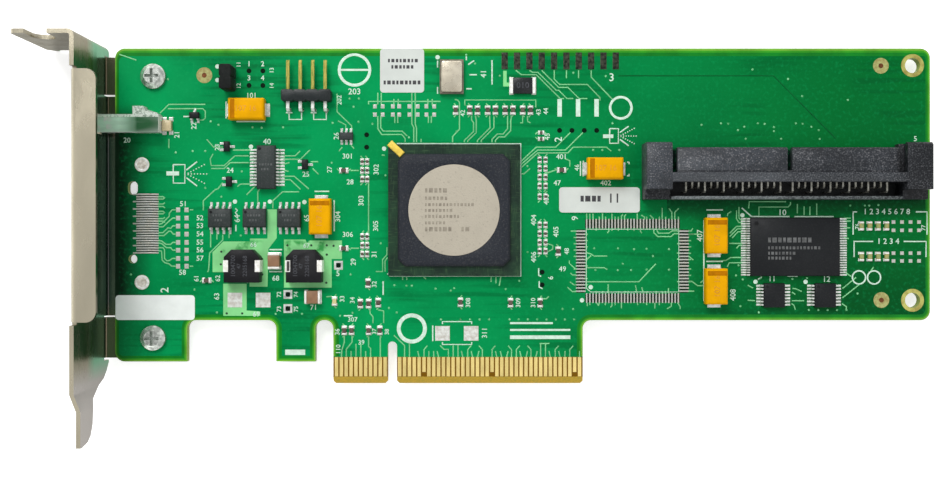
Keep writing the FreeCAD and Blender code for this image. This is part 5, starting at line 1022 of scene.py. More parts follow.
def mask_finish():
    """Solder mask with faint inner-layer streaks, bare laminate on the edges and between the contacts."""
    material, tree, shader, place = start_material("solder_mask_finish")
    axes = split(tree, place)
    # Painted shade: the mask darkens from the bracket towards the far end.
    tone = blend(tree, fade(tree, axes["X"], 0, 95), "mask", "mask_far")
    tone = blend(tree, pattern(tree, place, 28, 0.4, 0.66, 0.0, 0.6), tone, "mask_shade")
    # Painted shade: the lower far corner of the mask is darker.
    corner = product(tree, fade(tree, axes["X"], 50, 95), fade(tree, axes["Y"], 34, 18))
    tone = blend(tree, corner, tone, "mask_corner")
    # Painted shadow that the drive port casts on the mask below it.
    port = product(tree, compute(tree, "GREATER_THAN", axes["X"], UNDER_PORT_LEFT * MM),
                   compute(tree, "LESS_THAN", axes["Y"], UNDER_PORT_TOP * MM),
                   fade(tree, axes["Y"], *UNDER_PORT_FADE, 0.0, 0.8))
    tone = blend(tree, port, tone, "mask_under_port")
    # Painted shade by the bracket.
    tone = blend(tree, bracket_shade(tree, axes), tone, "mask_by_bracket")
    tone = blend(tree, inside(tree, axes, *PORT_SHADOW, 0.7), tone, "mask_port_shadow")
    streak = product(tree, pattern(tree, place, 1.1, 0.5, 0.62, 0.0, 0.4, stretch=(0.05, 1, 1), detail=2.0),
                     pattern(tree, place, 22, 0.46, 0.56, detail=1.0))
    tone = blend(tree, streak, tone, darker("mask_shade", 0.55))
    mottle = pattern(tree, place, 0.7, 0.52, 0.75, 0.0, 0.2, detail=2.0)
    tone = blend(tree, mottle, tone, "mask_mottle")
    zone = product(tree, compute(tree, "LESS_THAN", axes["Y"], FINGER_HEAD * MM),
                   compute(tree, "GREATER_THAN", axes["X"], (FINGER_LEFT - 0.1) * MM),
                   compute(tree, "LESS_THAN", axes["X"], (FINGER_RIGHT + 0.1) * MM))
    tone = blend(tree, zone, tone, "finger_gap")
    side = compute(tree, "LESS_THAN", compute(tree, "ABSOLUTE", facing(tree)["Z"]), FLAT_LIMIT)
    edge = blend(tree, zone, "laminate", "finger_gap_edge")
    fibre = pattern(tree, place, 0.4, 0.4, 0.7, 0.0, 0.5, stretch=(1, 1, 6))
    edge = blend(tree, fibre, edge, darker("laminate", 0.6))
    gloss = pattern(tree, place, 4, 0.3, 0.7, 0.26, 0.42, detail=4.0)
    surface(tree, shader, blend(tree, side, tone, edge), gloss, Specular_IOR_Level=0.05)
    relief(tree, shader, noise(tree, place, 0.8, detail=2.0), 0.01, 0.6)
    return material


def drawn_in(run, width):
    """The corners of a run moved inward by each side's share of a width, with their radii fitted to it."""
    moved = []
    for index, (x, y, radius, share) in enumerate(run):
        here = Vector((x, y))
        sides = []
        if index:
            sides.append((here - Vector(run[index - 1][:2]), run[index - 1][3]))
        if index < len(run) - 1:
            sides.append((Vector(run[index + 1][:2]) - here, share))
        for along, part in sides:
            along.normalize()
            here += Vector((-along.y, along.x)) * width * part
        if radius:
            convex = sides[0][0].cross(sides[1][0]) > 0
            radius = max(0.3, radius - width * share) if convex else radius + width * share
        moved.append((*here, radius))
    return moved


def outline_band(name, start, end, height):
    """A flat band along the board's outline, from one inward distance to another."""
    near, far = drawn_in(MARGIN_RUN, start), drawn_in(MARGIN_RUN, end)
    return slab(name, [rounded(near) + rounded(far)[::-1]], height)


def dress_board():
    paint("circuit_board", mask_finish())
    for name, rise in MARGIN_BANDS:
        strip = outline_band(f"board_{name}", BAND_START, setting(f"{name}_width") / MM, rise * MM)
        green = finish(f"{name}_finish")
        tree, axes = axes_of(green)
        # Painted shade by the bracket, as on the mask.
        recolour(green, bracket_shade(tree, axes), "margin_by_bracket")
        dress(strip, green)
    clearings = on_board(disc("registration_clearings", 1.62, 0.02), REGISTRATION_MARKS)
    dress(clearings, finish("clearing_finish"))
    dots = on_board(disc("registration_dots", 0.5, 0.03, sides=16), REGISTRATION_MARKS, 0.02)
    dress(dots, finish("bare_copper_finish"))
    paint("mounting_hole_rings", finish("ring_finish"))
    paint("solder_plugs", finish("plug_finish"))
    rims = [torus("plug_rims", middle_of(low, high), (high[0] - low[0]) / 2 - PLUG_RIM_INSET, PLUG_RIM_HALF,
                  PLUG_RIM_RISE, high[2]) for low, high in solid_boxes("solder_plugs")]
    dress(join("plug_rims", rims), finish("plug_rim_finish"))
    for node in ("edge_contacts_component_side", "edge_contacts_solder_side"):
        paint(node, finish("gold_plate_finish"))


# ------------ copper and legend

# The joint between two inner copper areas, which shows as a faint line: its run, width and height.
INNER_JOINT = [(46.5, 63.3), (78.4, 63.3), (91.2, 50.4)]
JOINT_WIDTH, JOINT_HEIGHT = 0.28, 0.012
POUR_HEIGHT = 0.012
VIA_RADIUS, VIA_RISE = 0.24, 0.16
# The fine pads by the bracket that have hooks: from which one on, and which of them have none.
FIRST_HOOK, HOOK_GAP_EVERY = 13, 3
# How far the stubs of the small chip parts run straight and in all, and how far they bend aside.
STUB_STRAIGHT, STUB_REACH, STUB_LEAN = 0.55, 0.9, 0.35


def stub_lines():
    """The short traces that leave the heads of the edge contacts."""
    lines = []
    for first, letters in (STUBS_BEFORE_KEY, STUBS_AFTER_KEY):
        for number, letter in enumerate(letters):
            if letter in STUB_SHAPES:
                x = first + number * CONTACT_PITCH
                lines.append([(x + dx, FINGER_HEAD - 0.1 + dy) for dx, dy in STUB_SHAPES[letter]])
    return lines


def fine_row_pitch():
    return (FINE_PAD_ROW["high"] - FINE_PAD_ROW["low"]) / (FINE_PAD_ROW["count"] - 1)


def fine_pad_hooks():
    """Short hooks at the right ends of the fine pads by the bracket."""
    row, pitch = FINE_PAD_ROW, fine_row_pitch()
    right = row["x"] + row["length"] / 2
    lines = []
    for number in range(FIRST_HOOK, row["count"]):
        y = row["low"] + number * pitch
        if number % HOOK_GAP_EVERY:
            lines.append([(right - 0.1, y), (right + 0.9, y), (right + 1.3, y + 0.3 * (-1) ** number)])
    return lines


def footprint_stubs():
    """Short traces that leave the empty footprint's pads outwards and inwards."""
    foot = SQUARE_FOOTPRINT
    reach = foot["length"] / 2 - 0.1
    starts = {"top": foot["rows_y"][0], "bottom": foot["rows_y"][1], "left": foot["rows_x"][0],
              "right": foot["rows_x"][1]}
    lines = []
    for side, way, letters in FOOTPRINT_STUBS:
        for number, letter in enumerate(letters):
            if letter not in STUB_SHAPES:
                continue
            step = (number - (len(letters) - 1) / 2) * foot["pitch"]
            scaled = [(across * FOOTPRINT_STUB_SCALE, along * FOOTPRINT_STUB_SCALE)
                      for across, along in STUB_SHAPES[letter]]
            shape = [(across, starts[side] + way * (reach + along)) for across, along in scaled]
            if side in ("top", "bottom"):
                lines.append([(foot["x"] + step + across, along) for across, along in shape])
            else:
                lines.append([(along, foot["y"] + step + across) for across, along in shape])
    return lines


def small_part_stubs():
    """Short traces that leave both ends of the small chip parts, bent now one way and now the other."""
    lines = []
    for number, (low, high) in enumerate(sorted(solid_boxes("chip_part_bodies"))):
        x, y = middle_of(low, high)
        lean = STUB_LEAN if number % 2 else -STUB_LEAN
        along_x = lies_along_x(low, high)
        reach = (high[0] - low[0] if along_x else high[1] - low[1]) / 2
        steps = [(reach, 0), (reach + STUB_STRAIGHT, 0), (reach + STUB_REACH, lean)]
        for side in (-1, 1):
            lines.append([(x + side * far, y + off) if along_x else (x + off, y + side * far)
                          for far, off in steps])
    return lines


def dress_copper():
    joint = ridges("inner_joint", [INNER_JOINT], JOINT_WIDTH * MM, JOINT_HEIGHT * MM)
    dress(joint, finish("inner_joint_finish"))
    lines = TRACES + stub_lines() + fine_pad_hooks() + small_part_stubs() + footprint_stubs()
    traces = ridges("outer_traces", lines, setting("trace_width"), setting("trace_height"))
    dress(traces, finish("trace_finish"))
    pour = finish("pour_finish")
    tree, axes = axes_of(pour)
    # Patches of painted soft shade on the copper areas above the inductors.
    soft_shade = pattern(tree, axes_place(tree), 2.2, 0.5, 0.62, detail=3.0)
    for low, high in SHADED_POURS:
        recolour(pour, product(tree, inside(tree, axes, low, high, 0.8), soft_shade), "pour_smudge")
    dress(slab("outer_pours", POURS, POUR_HEIGHT * MM), pour)
    dimples = on_board(disc("pour_vias", VIA_RADIUS, 0.02, sides=10), POUR_HOLES, POUR_HEIGHT)
    dress(dimples, finish("via_shade_finish"))
    clear_selection()
    bpy.ops.mesh.primitive_uv_sphere_add(segments=10, ring_count=5, radius=VIA_RADIUS * MM)
    dome = bpy.context.object
    dome.name = "via_domes"
    dome.scale.z = VIA_RISE
    settle(dome)
    bpy.ops.object.shade_smooth()
    spots = list(VIAS)
    for (start, end, count), y in VIA_ROWS:
        spots += [(start + (end - start) * number / (count - 1), y) for number in range(count)]
    # Dark discs of painted shade stand for the holes.
    holes = on_board(disc("test_holes", 0.5, 0.05, sides=16), TEST_HOLES)
    dress(holes, finish("test_hole_finish"))
    dress(on_board(dome, spots), finish("tented_via_finish"))


def dress_legend():
    ink = finish("legend_ink")
    stroke, rise = setting("legend_width"), setting("legend_height")
    parts = [ridges("legend_runs", LEGEND_LINES, stroke, rise),
             ridges("legend_fine_runs", FINE_LEGEND, stroke * 0.5, rise)]
    for x, y, long, wide in LEGEND_BARS:
        parts.append(box("legend_bar", (x, y, BOARD_TOP + PRINT_RISE / 2), (long, wide, PRINT_RISE)))
    parts.append(on_board(disc("legend_dots", 0.45, PRINT_RISE, sides=16), FIRST_PIN_DOTS))
    steps = [(x, y, reach * (number + 0.5) / FAN_DOTS, math.radians(turn))
             for x, y, reach in CONNECTOR_FANS for turn in FAN_TURNS for number in range(FAN_DOTS)]
    spots = [(x + along * math.cos(turn), y + along * math.sin(turn)) for x, y, along, turn in steps]
    parts.append(on_board(disc("fan_dots", 0.13, PRINT_RISE, sides=8), spots))
    for x, y, radius, width in LEGEND_RINGS:
        parts.append(torus("legend_ring", (x, y), radius, width / 2, rise / MM, BOARD_TOP))
    dress(join("legend_lines", parts), ink)
    dress(numerals("legend_numbers", LEGEND_NUMBERS, NUMBER_RISE), ink)


def body_rows(node):
    """Two short rows of marks across the middle of every solid in a node."""
    rows = []
    for low, high in solid_boxes(node):
        x, y = middle_of(low, high)
        rows += [(x - 1.3, y + 0.55, 2.4, 0.45), (x - 0.9, y - 0.45, 1.6, 0.45)]
    return rows


def mark_rows(node, gap=0.3, rows=None):
    """Rows of short plain marks of uneven length on the top of a CAD node."""
    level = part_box(node)[1].z / MM + MARK_RISE / 2
    pieces = []
    for first, y, reach, tall in rows or MARK_ROWS[node]:
        x, number = first, 0
        while x < first + reach:
            long = tall * MARK_LENGTHS[number % len(MARK_LENGTHS)]
            pieces.append(box(f"{node}_marks", (x + long / 2, y, level), (long, tall, MARK_RISE)))
            x, number = x + long + gap, number + 1
    return join(f"{node}_marks", pieces)


# ------------ pads

# Pads for parts that aren't fitted: length along X and width along Y of the pairs by the bracket, above the
# controller and at the lamp places.
PAIR_PAD, TOP_PAIR_PAD, LAMP_PAIR_PAD = (0.85, 0.95), (0.75, 0.85), (0.75, 0.7)
# How much longer and wider than its lead a pad is, and how much larger than an end cap its solder is.
LEAD_TOE, LEAD_SIDE, FILLET_GROW = 0.3, 0.05, 0.16
PAD_RISE, FILLET_RISE = 0.05, 0.16
# The square frames of bare tin round the test points: side, height and width of the frame.
FRAME_SIDE, FRAME_RISE, FRAME_BAND = 1.8, 0.03, 0.42


def fitted(model, areas):
    """Stretch a one-millimetre model over each area (low x, low y, high x, high y) and join the copies."""
    turns = []
    for low_x, low_y, high_x, high_y in areas:
        middle = Vector(((low_x + high_x) / 2, (low_y + high_y) / 2, BOARD_TOP)) * MM
        turns.append(Matrix.Translation(middle) @ Matrix.Diagonal((high_x - low_x, high_y - low_y, 1, 1)))
    return stamped(model, turns)


def area(x, y, long, wide):
    return (x - long / 2, y - wide / 2, x + long / 2, y + wide / 2)


def under(node, along, across):
    """The board areas below each solid of a node, grown along its length and across it."""
    areas = []
    for low, high in solid_boxes(node):
        dx, dy = (along, across) if lies_along_x(low, high) else (across, along)
        areas.append((low[0] - dx, low[1] - dy, high[0] + dx, high[1] + dy))
    return areas


def bare_pad_areas():
    """Every pad that waits for a part: fine row, pad pairs, empty footprint and lamp places."""
    row, pitch = FINE_PAD_ROW, fine_row_pitch()
    areas = []
    for number in range(row["count"]):
        extra = LONG_PAD_EXTRA if number % LONG_PAD_EVERY == 0 else 0
        y = row["low"] + number * pitch
        areas.append(area(row["x"] - extra / 2, y, row["length"] + extra, row["width"]))
    areas += [area(x, y, *PAIR_PAD) for x in PAIR_X for y in PAIR_LEVELS]
    areas += [area(x, y, *TOP_PAIR_PAD) for x in TOP_PAIR_X for y in TOP_PAIR_Y]
    areas += [area(x, y, *LAMP_PAIR_PAD) for x in LAMP_PAIR_X for pair in LAMP_PAIR_Y for y in pair]
    foot = SQUARE_FOOTPRINT
    for count, across in ((foot["long_count"], True), (foot["short_count"], False)):
        for number in range(count):
            step = (number - (count - 1) / 2) * foot["pitch"]
            if across:
                areas += [area(foot["x"] + step, y, foot["width"], foot["length"]) for y in foot["rows_y"]]
            else:
                areas += [area(x, foot["y"] + step, foot["length"], foot["width"]) for x in foot["rows_x"]]
    return areas


def pad_beds():
    """Outlines of the bare laminate between the finest pads."""
    foot, row = SQUARE_FOOTPRINT, FINE_PAD_ROW
    long, short = (foot[count] * foot["pitch"] for count in ("long_count", "short_count"))
    beds = [area(foot["x"], y, long, foot["length"] - 0.2) for y in foot["rows_y"]]
    beds += [area(x, foot["y"], foot["length"] - 0.2, short) for x in foot["rows_x"]]
    beds.append((row["x"] - row["length"] / 2 + 0.1, row["low"] - 0.2, row["x"] + row["length"] / 2 - 0.1,
                 row["high"] + 0.2))
    return [[(left, low), (right, low), (right, high), (left, high)] for left, low, right, high in beds]


def dress_pads():
    solder = finish("tinned_finish")
    leads = [spot for node in CHIP_LEADS for spot in under(node, LEAD_TOE, LEAD_SIDE)]
    ends = [spot for node in PADDED_ENDS for spot in under(node, FILLET_GROW, FILLET_GROW)]
    dress(fitted(mound("lead_pads", PAD_RISE), leads), solder)
    dress(fitted(mound("end_fillets", FILLET_RISE, 0.3), ends), solder)
    dress(fitted(mound("bare_pads", PAD_RISE), bare_pad_areas()), finish("worn_tin_finish"))
    dress(slab("pad_beds", pad_beds(), 0.008 * MM), finish("pad_bed_finish"))
    paint("bare_power_pads", finish("power_pad_finish"))
    row = EDGE_PAD_ROW
    edge_pads = [area(row["x"] + number * row["pitch"], row["y"], row["length"], row["width"])
                 for number in range(row["count"])]
    dress(fitted(mound("edge_row_pads", PAD_RISE, 0.12), edge_pads), finish("pitted_pad_finish"))
    frame_model = box("test_point_frames", (0, 0, 0), (FRAME_SIDE, FRAME_SIDE, FRAME_RISE))
    edit_faces(frame_model, faces_up)
    bpy.ops.mesh.inset(thickness=FRAME_BAND * MM, depth=0)
    bpy.ops.mesh.delete(type="FACE")
    leave_edit()
    dress(on_board(frame_model, TEST_POINT_PADS, FRAME_RISE / 2), solder)


# ------------ bracket and light path

# The grain of the bracket's sheet runs along its length.
BRUSHED = (1, 0.35, 1)
# Up to where the bracket's inner face takes a painted reflection of the board, and where the hollow under
# its lip takes painted shade.
MIRRORED_BELOW, HOLLOW_FOOT, HOLLOW_HEAD = (9.0, 5.0), (13.0, 17.0), (54.0, 50.0)
# Depths of a screw's cross recess below its crown: where its painted shade is full and where it is gone.
RECESS_DARK, RECESS_BRIGHT = 0.55, 0.25
# The light pipe: where the board shows through it as painted colour, where its head takes a painted
# reflection of the bracket and where its frosted lug begins.
PIPE_OVER_BOARD, PIPE_HEAD_LIT, PIPE_LUG = (-55.2, -51.5), (-56.2, -57.8), 54.45


def bracket_finish():
    """Plated sheet: painted highlight on the lip, painted shade and painted board reflection on the rest."""
    material, tree, shader, place = start_material("bracket_steel_finish")
    turned = facing(tree)
    axes = split(tree, place)
    # Painted highlight on faces that face up, and painted shade on the rest.
    tone = blend(tree, spread(tree, turned["Z"], 0.5, 0.9), darker("bracket", 0.72), "bracket_lip")
    # Painted shade on faces that point towards the insertion edge.
    tone = blend(tree, spread(tree, turned["Y"], -0.8, -0.4, 1.0, 0.0), tone, darker("bracket", 0.36))
    streaks = pattern(tree, place, 6, 0.35, 0.65, 0.0, 0.3, stretch=BRUSHED)
    tone = blend(tree, streaks, tone, darker("bracket", 0.6))
    # Painted reflection of the green board on the plate's inner face, low down.
    inner = product(tree, spread(tree, turned["X"], 0.5, 0.9), fade(tree, axes["Z"], *MIRRORED_BELOW))
    tone = blend(tree, inner, tone, "bracket_inner")
    # Painted shade and a painted reflection of the board in the hollow under the lip, darkest in its middle.
    hollow = blend(tree, fade(tree, axes["X"], -61.2, -59.2), "hollow_green", "hollow_brown")
    deep = blend(tree, fade(tree, axes["X"], -60.2, -59.4), "deep_green", "deep_grey")
    deep = blend(tree, fade(tree, axes["X"], -59.0, -58.4), deep, "deep_rose")
    middle = product(tree, fade(tree, axes["Y"], *HOLLOW_FOOT), fade(tree, axes["Y"], *HOLLOW_HEAD))
    hollow = blend(tree, middle, hollow, deep)
    under_lip_shade = product(tree, compute(tree, "LESS_THAN", axes["Z"], 0.0), spread(tree, turned["Z"], 0.3, 0.6))
    tone = blend(tree, spread(tree, under_lip_shade, 0.0, 1.0, 0.0, 0.9), tone, hollow)
    # A paler grey on the tongue's faces that don't face up.
    tongue = product(tree, fade(tree, axes["Y"], 5, 1), spread(tree, turned["Z"], 0.9, 0.5))
    tone = blend(tree, tongue, tone, "bracket_tongue")
    gloss = pattern(tree, place, 3, 0.3, 0.7, 0.16, 0.32, stretch=BRUSHED, detail=5.0)
    surface(tree, shader, tone, gloss, Metallic=0.95, Specular_Tint=(0.55, 0.54, 0.5, 1))
    relief(tree, shader, noise(tree, place, 0.8, BRUSHED, 4.0), 0.01)
    return material


def screw_finish():
    """Plated steel with turning marks and painted shade down in the cross recess."""
    material, tree, shader, place = start_material("screw_finish")
    patches = pattern(tree, place, 0.9, 0.4, 0.6)
    tone = blend(tree, patches, "screw", darker("screw", 0.5))
    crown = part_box("bracket_screws")[1].z / MM
    depth = fade(tree, split(tree, place)["Z"], crown - RECESS_DARK, crown - RECESS_BRIGHT, 1.0, 0.0)
    upright = facing(tree)["Z"]
    recess = compute(tree, "MAXIMUM", compute(tree, "GREATER_THAN", upright, 0.97),
                     compute(tree, "LESS_THAN", upright, 0.3))
    # Painted shade in the cross recess.
    tone = blend(tree, product(tree, depth, recess), tone, "screw_recess")
    surface(tree, shader, tone, spread(tree, patches, 0.0, 1.0, 0.2, 0.36), Metallic=0.8)
    relief(tree, shader, noise(tree, place, 0.4, detail=4.0), 0.02)
    return material


def dress_bracket():
    paint("bracket", bracket_finish())
    paint("bracket_screws", screw_finish())


def clear_finish():
    """Clear plastic: glassy flats, long flow streaks, a frosted lug, painted board and painted highlights."""
    material, tree, shader, place = start_material("light_pipe_finish")
    axes = split(tree, place)
    # Painted colour of the board showing through the pipe where it lies over the board.
    tone = blend(tree, fade(tree, axes["X"], *PIPE_OVER_BOARD), "clear", "pipe_over_board")
    streaks = pattern(tree, place, 0.9, 0.4, 0.62, 0.0, 0.3, stretch=(0.12, 1, 1))
    tone = blend(tree, streaks, tone, darker("clear", 0.35))
    # Pale veins at the head: a painted reflection of the bracket's bright flange.
    head_reflection = pattern(tree, place, 1.1, 0.5, 0.56, detail=4.0)
    head_reflection = product(tree, fade(tree, axes["X"], *PIPE_HEAD_LIT), head_reflection)
    tone = blend(tree, head_reflection, tone, "pipe_cracks")
    frost = product(tree, compute(tree, "GREATER_THAN", axes["Y"], PIPE_LUG * MM),
                    pattern(tree, place, 0.6, 0.4, 0.55, 0.35, 1.0))
    tone = blend(tree, frost, tone, "pipe_frost")
    # Painted highlight on the edges.
    tone = blend(tree, spread(tree, facing(tree)["Z"], 0.95, 0.995, 1.0, 0.0), tone, "pipe_edge")
    surface(tree, shader, tone, spread(tree, frost, 0.0, 1.0, 0.06, 0.4), Transmission_Weight=0.36, IOR=1.45)
    relief(tree, shader, noise(tree, place, 1.2, (0.3, 1, 1)), 0.03)
    return material


def dress_light_path():
    softened("light_pipe", 0.38, clear_finish(), 3)
    softened("indicator_lamp", 0.1, finish("lamp_resin_finish"))
    paint("indicator_terminals", finish("tinned_finish"))


# ------------ controller

# The gold mark at the package's corner: its size, its middle from the corner and its turn.
CORNER_MARK_SIZE, CORNER_MARK_INSET, CORNER_MARK_TURN = (3.7, 1.5, 0.3), (1.6, 0.95), -43


def laminate_finish():
    """Package laminate: dark green mask with a fine weave of buried traces."""
    material, tree, shader, place = start_material("package_laminate_finish")
    tone = blend(tree, pattern(tree, place, 4, 0.4, 0.6), "package_mask", "package_mask_dark")
    weave = compute(tree, "MAXIMUM", *(noise(tree, place, 0.4, way) for way in ((0.2, 2, 1), (2, 0.2, 1))))
    tone = blend(tree, spread(tree, weave, 0.58, 0.7, 0.0, 0.25), tone, "package_weave")
    surface(tree, shader, tone, spread(tree, weave, 0.4, 0.7, 0.32, 0.45), Specular_IOR_Level=0.2)
    relief(tree, shader, weave, 0.01, 0.5)
    return material


def slug_finish():
    """Blasted metal: a pale field with small pits and warmer stains."""
    material, tree, shader, place = start_material("heat_slug_finish")
    stains = pattern(tree, place, 4.5, 0.42, 0.66, detail=5.0)
    tone = blend(tree, stains, "slug", darker("slug", 0.9))
    specks = pattern(tree, place, 0.5, 0.6, 0.75, 0.0, 0.35, detail=2.0)
    tone = blend(tree, specks, tone, "slug_specks")
    surface(tree, shader, tone, spread(tree, stains, 0.0, 1.0, 0.42, 0.58), Metallic=0.35)
    relief(tree, shader, cells(tree, place, 0.3), 0.03, 0.7)
    return material


def moulded_finish(name, source, gloss=(0.42, 0.62), grain=0.18, dust=0.35, pale=2.0, wave_shade=0.0):
    """Moulded compound or plastic: one tone with paler scuffs, pale dust and a fine even grain."""
    material, tree, shader, place = start_material(name)
    base = tone_of(source)
    grey = sum(base) / 3 * pale + 0.008
    scuff = pattern(tree, place, 3, 0.5, 0.8, 0.0, 0.5, detail=6.0)
    tone = blend(tree, scuff, base, tuple(channel * 1.4 + 0.002 for channel in base))
    pit = pattern(tree, place, 0.35, 0.36, 0.46, dust * 0.9, 0.0, stretch=(1.1, 0.9, 1), detail=1.0)
    tone = blend(tree, pit, tone, darker(base, 0.5))
    speck = pattern(tree, place, 0.3, 0.55, 0.7, 0.0, dust, detail=1.0)
    tone = blend(tree, speck, tone, (grey, grey, grey * 1.05))
    # Darker waves, partly painted shade of the plastic's wrinkled texture; none unless asked for.
    flow = pattern(tree, place, 7, 0.42, 0.58, wave_shade, 0.0, stretch=(0.6, 1.6, 1), detail=5.0)
    tone = blend(tree, flow, tone, darker(base, 0.35))
    shine = pattern(tree, place, 2, 0.3, 0.7, *gloss, detail=4.0)
    surface(tree, shader, tone, shine, Specular_IOR_Level=0.25)
    relief(tree, shader, noise(tree, place, grain, detail=2.0), 0.01, 0.8)
    return material


def dress_controller():
    paint("controller_substrate", laminate_finish())
    paint("controller_balls", finish("tinned_finish"))
    compound = moulded_finish("controller_mould_finish", "mould", dust=0.5, pale=2.6)
    softened("controller_mould", 0.12, compound)
    paint("controller_heat_slug", slug_finish())
    dress(mark_rows("controller_heat_slug"), finish("etched_mark_finish"))
    low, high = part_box("controller_substrate")
    mark = box("corner_mark", (0, 0, 0), CORNER_MARK_SIZE)
    edit_faces(mark, faces_up)
    bpy.ops.transform.resize(value=(0.9, 0.78, 1))
    leave_edit()
    soften_edges(mark, 0.06)
    corner = (low.x / MM + CORNER_MARK_INSET[0], high.y / MM - CORNER_MARK_INSET[1],
              high.z / MM + CORNER_MARK_SIZE[2] / 2, CORNER_MARK_TURN)
    dress(copies(mark, [corner]), finish("corner_mark_finish"))


# ------------ drive port

# The dark floor of the port's well, between its wall and its row of contact feet, and its thickness. It
# stands both for the housing's floor and for painted shade in the well.
PORT_WELL = [(57.2, 38.4), (105.4, 38.4), (105.4, 41.3), (57.2, 41.3)]
WELL_SHEET = 0.42
# Zones of painted light and shade on the housing, each with low and high corner, soft border, share and
# colour: a paler band along the rail, a painted highlight along the bottom rail, and painted shade in the
# crease, at the arms' feet, in the slot by the right arm and towards the far end.
PORT_LIGHT_AND_SHADE = [((56.6, 41.3), (102.9, 43.0), 0.2, 0.18, (118, 122, 126)),
              ((56.6, 37.7), (102.9, 38.3), 0.15, 0.5, (128, 136, 136)),
              ((56.6, 43.1), (102.9, 43.4), 0.15, 0.8, (28, 30, 36)),
              ((51.0, 37.4), (56.6, 39.7), 0.3, 0.85, (24, 26, 30)),
              ((103.4, 37.4), (112.0, 39.7), 0.3, 0.85, (20, 22, 26)),
              ((101.5, 43.3), (103.3, 48.4), 0.2, 1.0, (8, 10, 14)),
              ((81.0, 36.0), (125.0, 60.0), 5.0, 0.5, (24, 26, 30)),
              ((105.0, 36.0), (125.0, 60.0), 6.0, 0.8, (16, 18, 22))]
# The grain breaks a pale zone up and leaves the pale specks of a dark one: share at both ends of the grain.
PALE_GRAIN, DARK_GRAIN, PALE_FROM = (0.45, 1.35), (1.35, 0.45), 60


def port_finish():
    """The housing's textured plastic: paler rail, painted shade in the crease and towards the far end."""
    # The drive port asks for waves of painted shade.
    plastic = moulded_finish("port_plastic_finish", "port", (0.3, 0.55), 0.25, dust=0.85, pale=3.4, wave_shade=0.6)
    tree, axes = axes_of(plastic)
    grain = noise(tree, axes_place(tree), 0.3, detail=1.0)
    # Paint each zone's light or shade over the plastic.
    for low, high, soft, share, tone in PORT_LIGHT_AND_SHADE:
        ends = PALE_GRAIN if max(tone) > PALE_FROM else DARK_GRAIN
        zone = product(tree, inside(tree, axes, low, high, soft), share)
        recolour(plastic, product(tree, zone, spread(tree, grain, 0.36, 0.6, *ends)), srgb(*tone))
    return plastic


def dress_drive_port():
    softened("drive_port_housing", 0.12, port_finish(), 2, 50)
    # A dark sheet in the port's well, partly the housing's floor and partly painted shade.
    floor = slab("port_well_floor", [PORT_WELL], WELL_SHEET * MM)
    dress(floor, moulded_finish("well_finish", "well", (0.5, 0.7)))
    paint("drive_port_contacts", finish("port_contact_finish"))
    paint("drive_port_hold_downs", finish("tinned_finish"))


# ------------ chips and their marks

CHIP_EDGES = {
    "memory_chip": {"flash_chip_body": 0.08, "logic_chip_bodies": 0.07, "transistor_bodies": 0.06},
    "power_chip": {"driver_chip_body": 0.08, "regulator_bodies": 0.1, "switch_chip_body": 0.06}}
# Body node, radius of the first-pin dimple and its distance from the upper left corner.
CHIP_DIMPLES = [
    ("flash_chip_body", 0.45, 1.2), ("driver_chip_body", 0.35, 0.75), ("logic_chip_bodies", 0.3, 0.7),
    ("regulator_bodies", 0.3, 0.75)]


def dress_chips():
    for tone, bodies in CHIP_EDGES.items():
        compound = moulded_finish(f"{tone}_finish", tone)
        for node, width in bodies.items():
            softened(node, width, compound, 1)
    dimples = []
    for node, radius, inset in CHIP_DIMPLES:
        spots = [(low[0] + inset, high[1] - inset, high[2] - 0.01, 0) for low, high in solid_boxes(node)]
        dimples.append(copies(disc("dimple", radius, 0.02, sides=16), spots))
    dark = moulded_finish("dimple_finish", darker("memory_chip", 0.45), (0.3, 0.5))
    dress(join("first_pin_dimples", dimples), dark)
    dress(mark_rows("flash_chip_body"), finish("chip_mark_finish"))
    marks = [mark_rows(node, 0.25, body_rows(node)) for node in ("regulator_bodies", "driver_chip_body")]
    dress(join("small_chip_marks", marks), finish("small_chip_mark_finish"))
    for node in CHIP_LEADS:
        paint(node, finish("tinned_finish"))


# ------------ capacitors, inductors and small parts

# The band at a tantalum capacitor's positive end: length, how much narrower than the body, height.
BAND_LENGTH, BAND_MARGIN, BAND_RISE = 0.95, 0.5, 0.02
TANTALUM_NUMBER, TANTALUM_NUMBER_SIZE = "107 16", 1.2
RESISTOR_NUMBER, RESISTOR_NUMBER_SIZE = "010", 1.3
# How high a stamped number stands on its part.
STAMP_RISE = 0.01
# Where a pale lamp stands among the small brown parts: low and high corner.
PALE_PART = ((-12.8, 15.8), (-11.0, 18.2))
# Digits on the inductors, their distance from the middle and their size.
INDUCTOR_ROWS = [("1004700", -1.65, 0.95), ("47", -0.5, 0.8), ("2205168", 0.75, 0.9)]
# How far the edges of each kind of end cap are rounded.
END_EDGES = {"inductor_terminals": 0.05, "sense_resistor_ends": 0.06, "ceramic_end_caps": 0.1,
             "chip_part_end_caps": 0.05, "status_lamp_ends": 0.04}
# Where the left terminal of the right inductor is tarnished: low and high corner.
DARK_TERMINAL = ((-21.15, 23.25), (-20.7, 25.15))


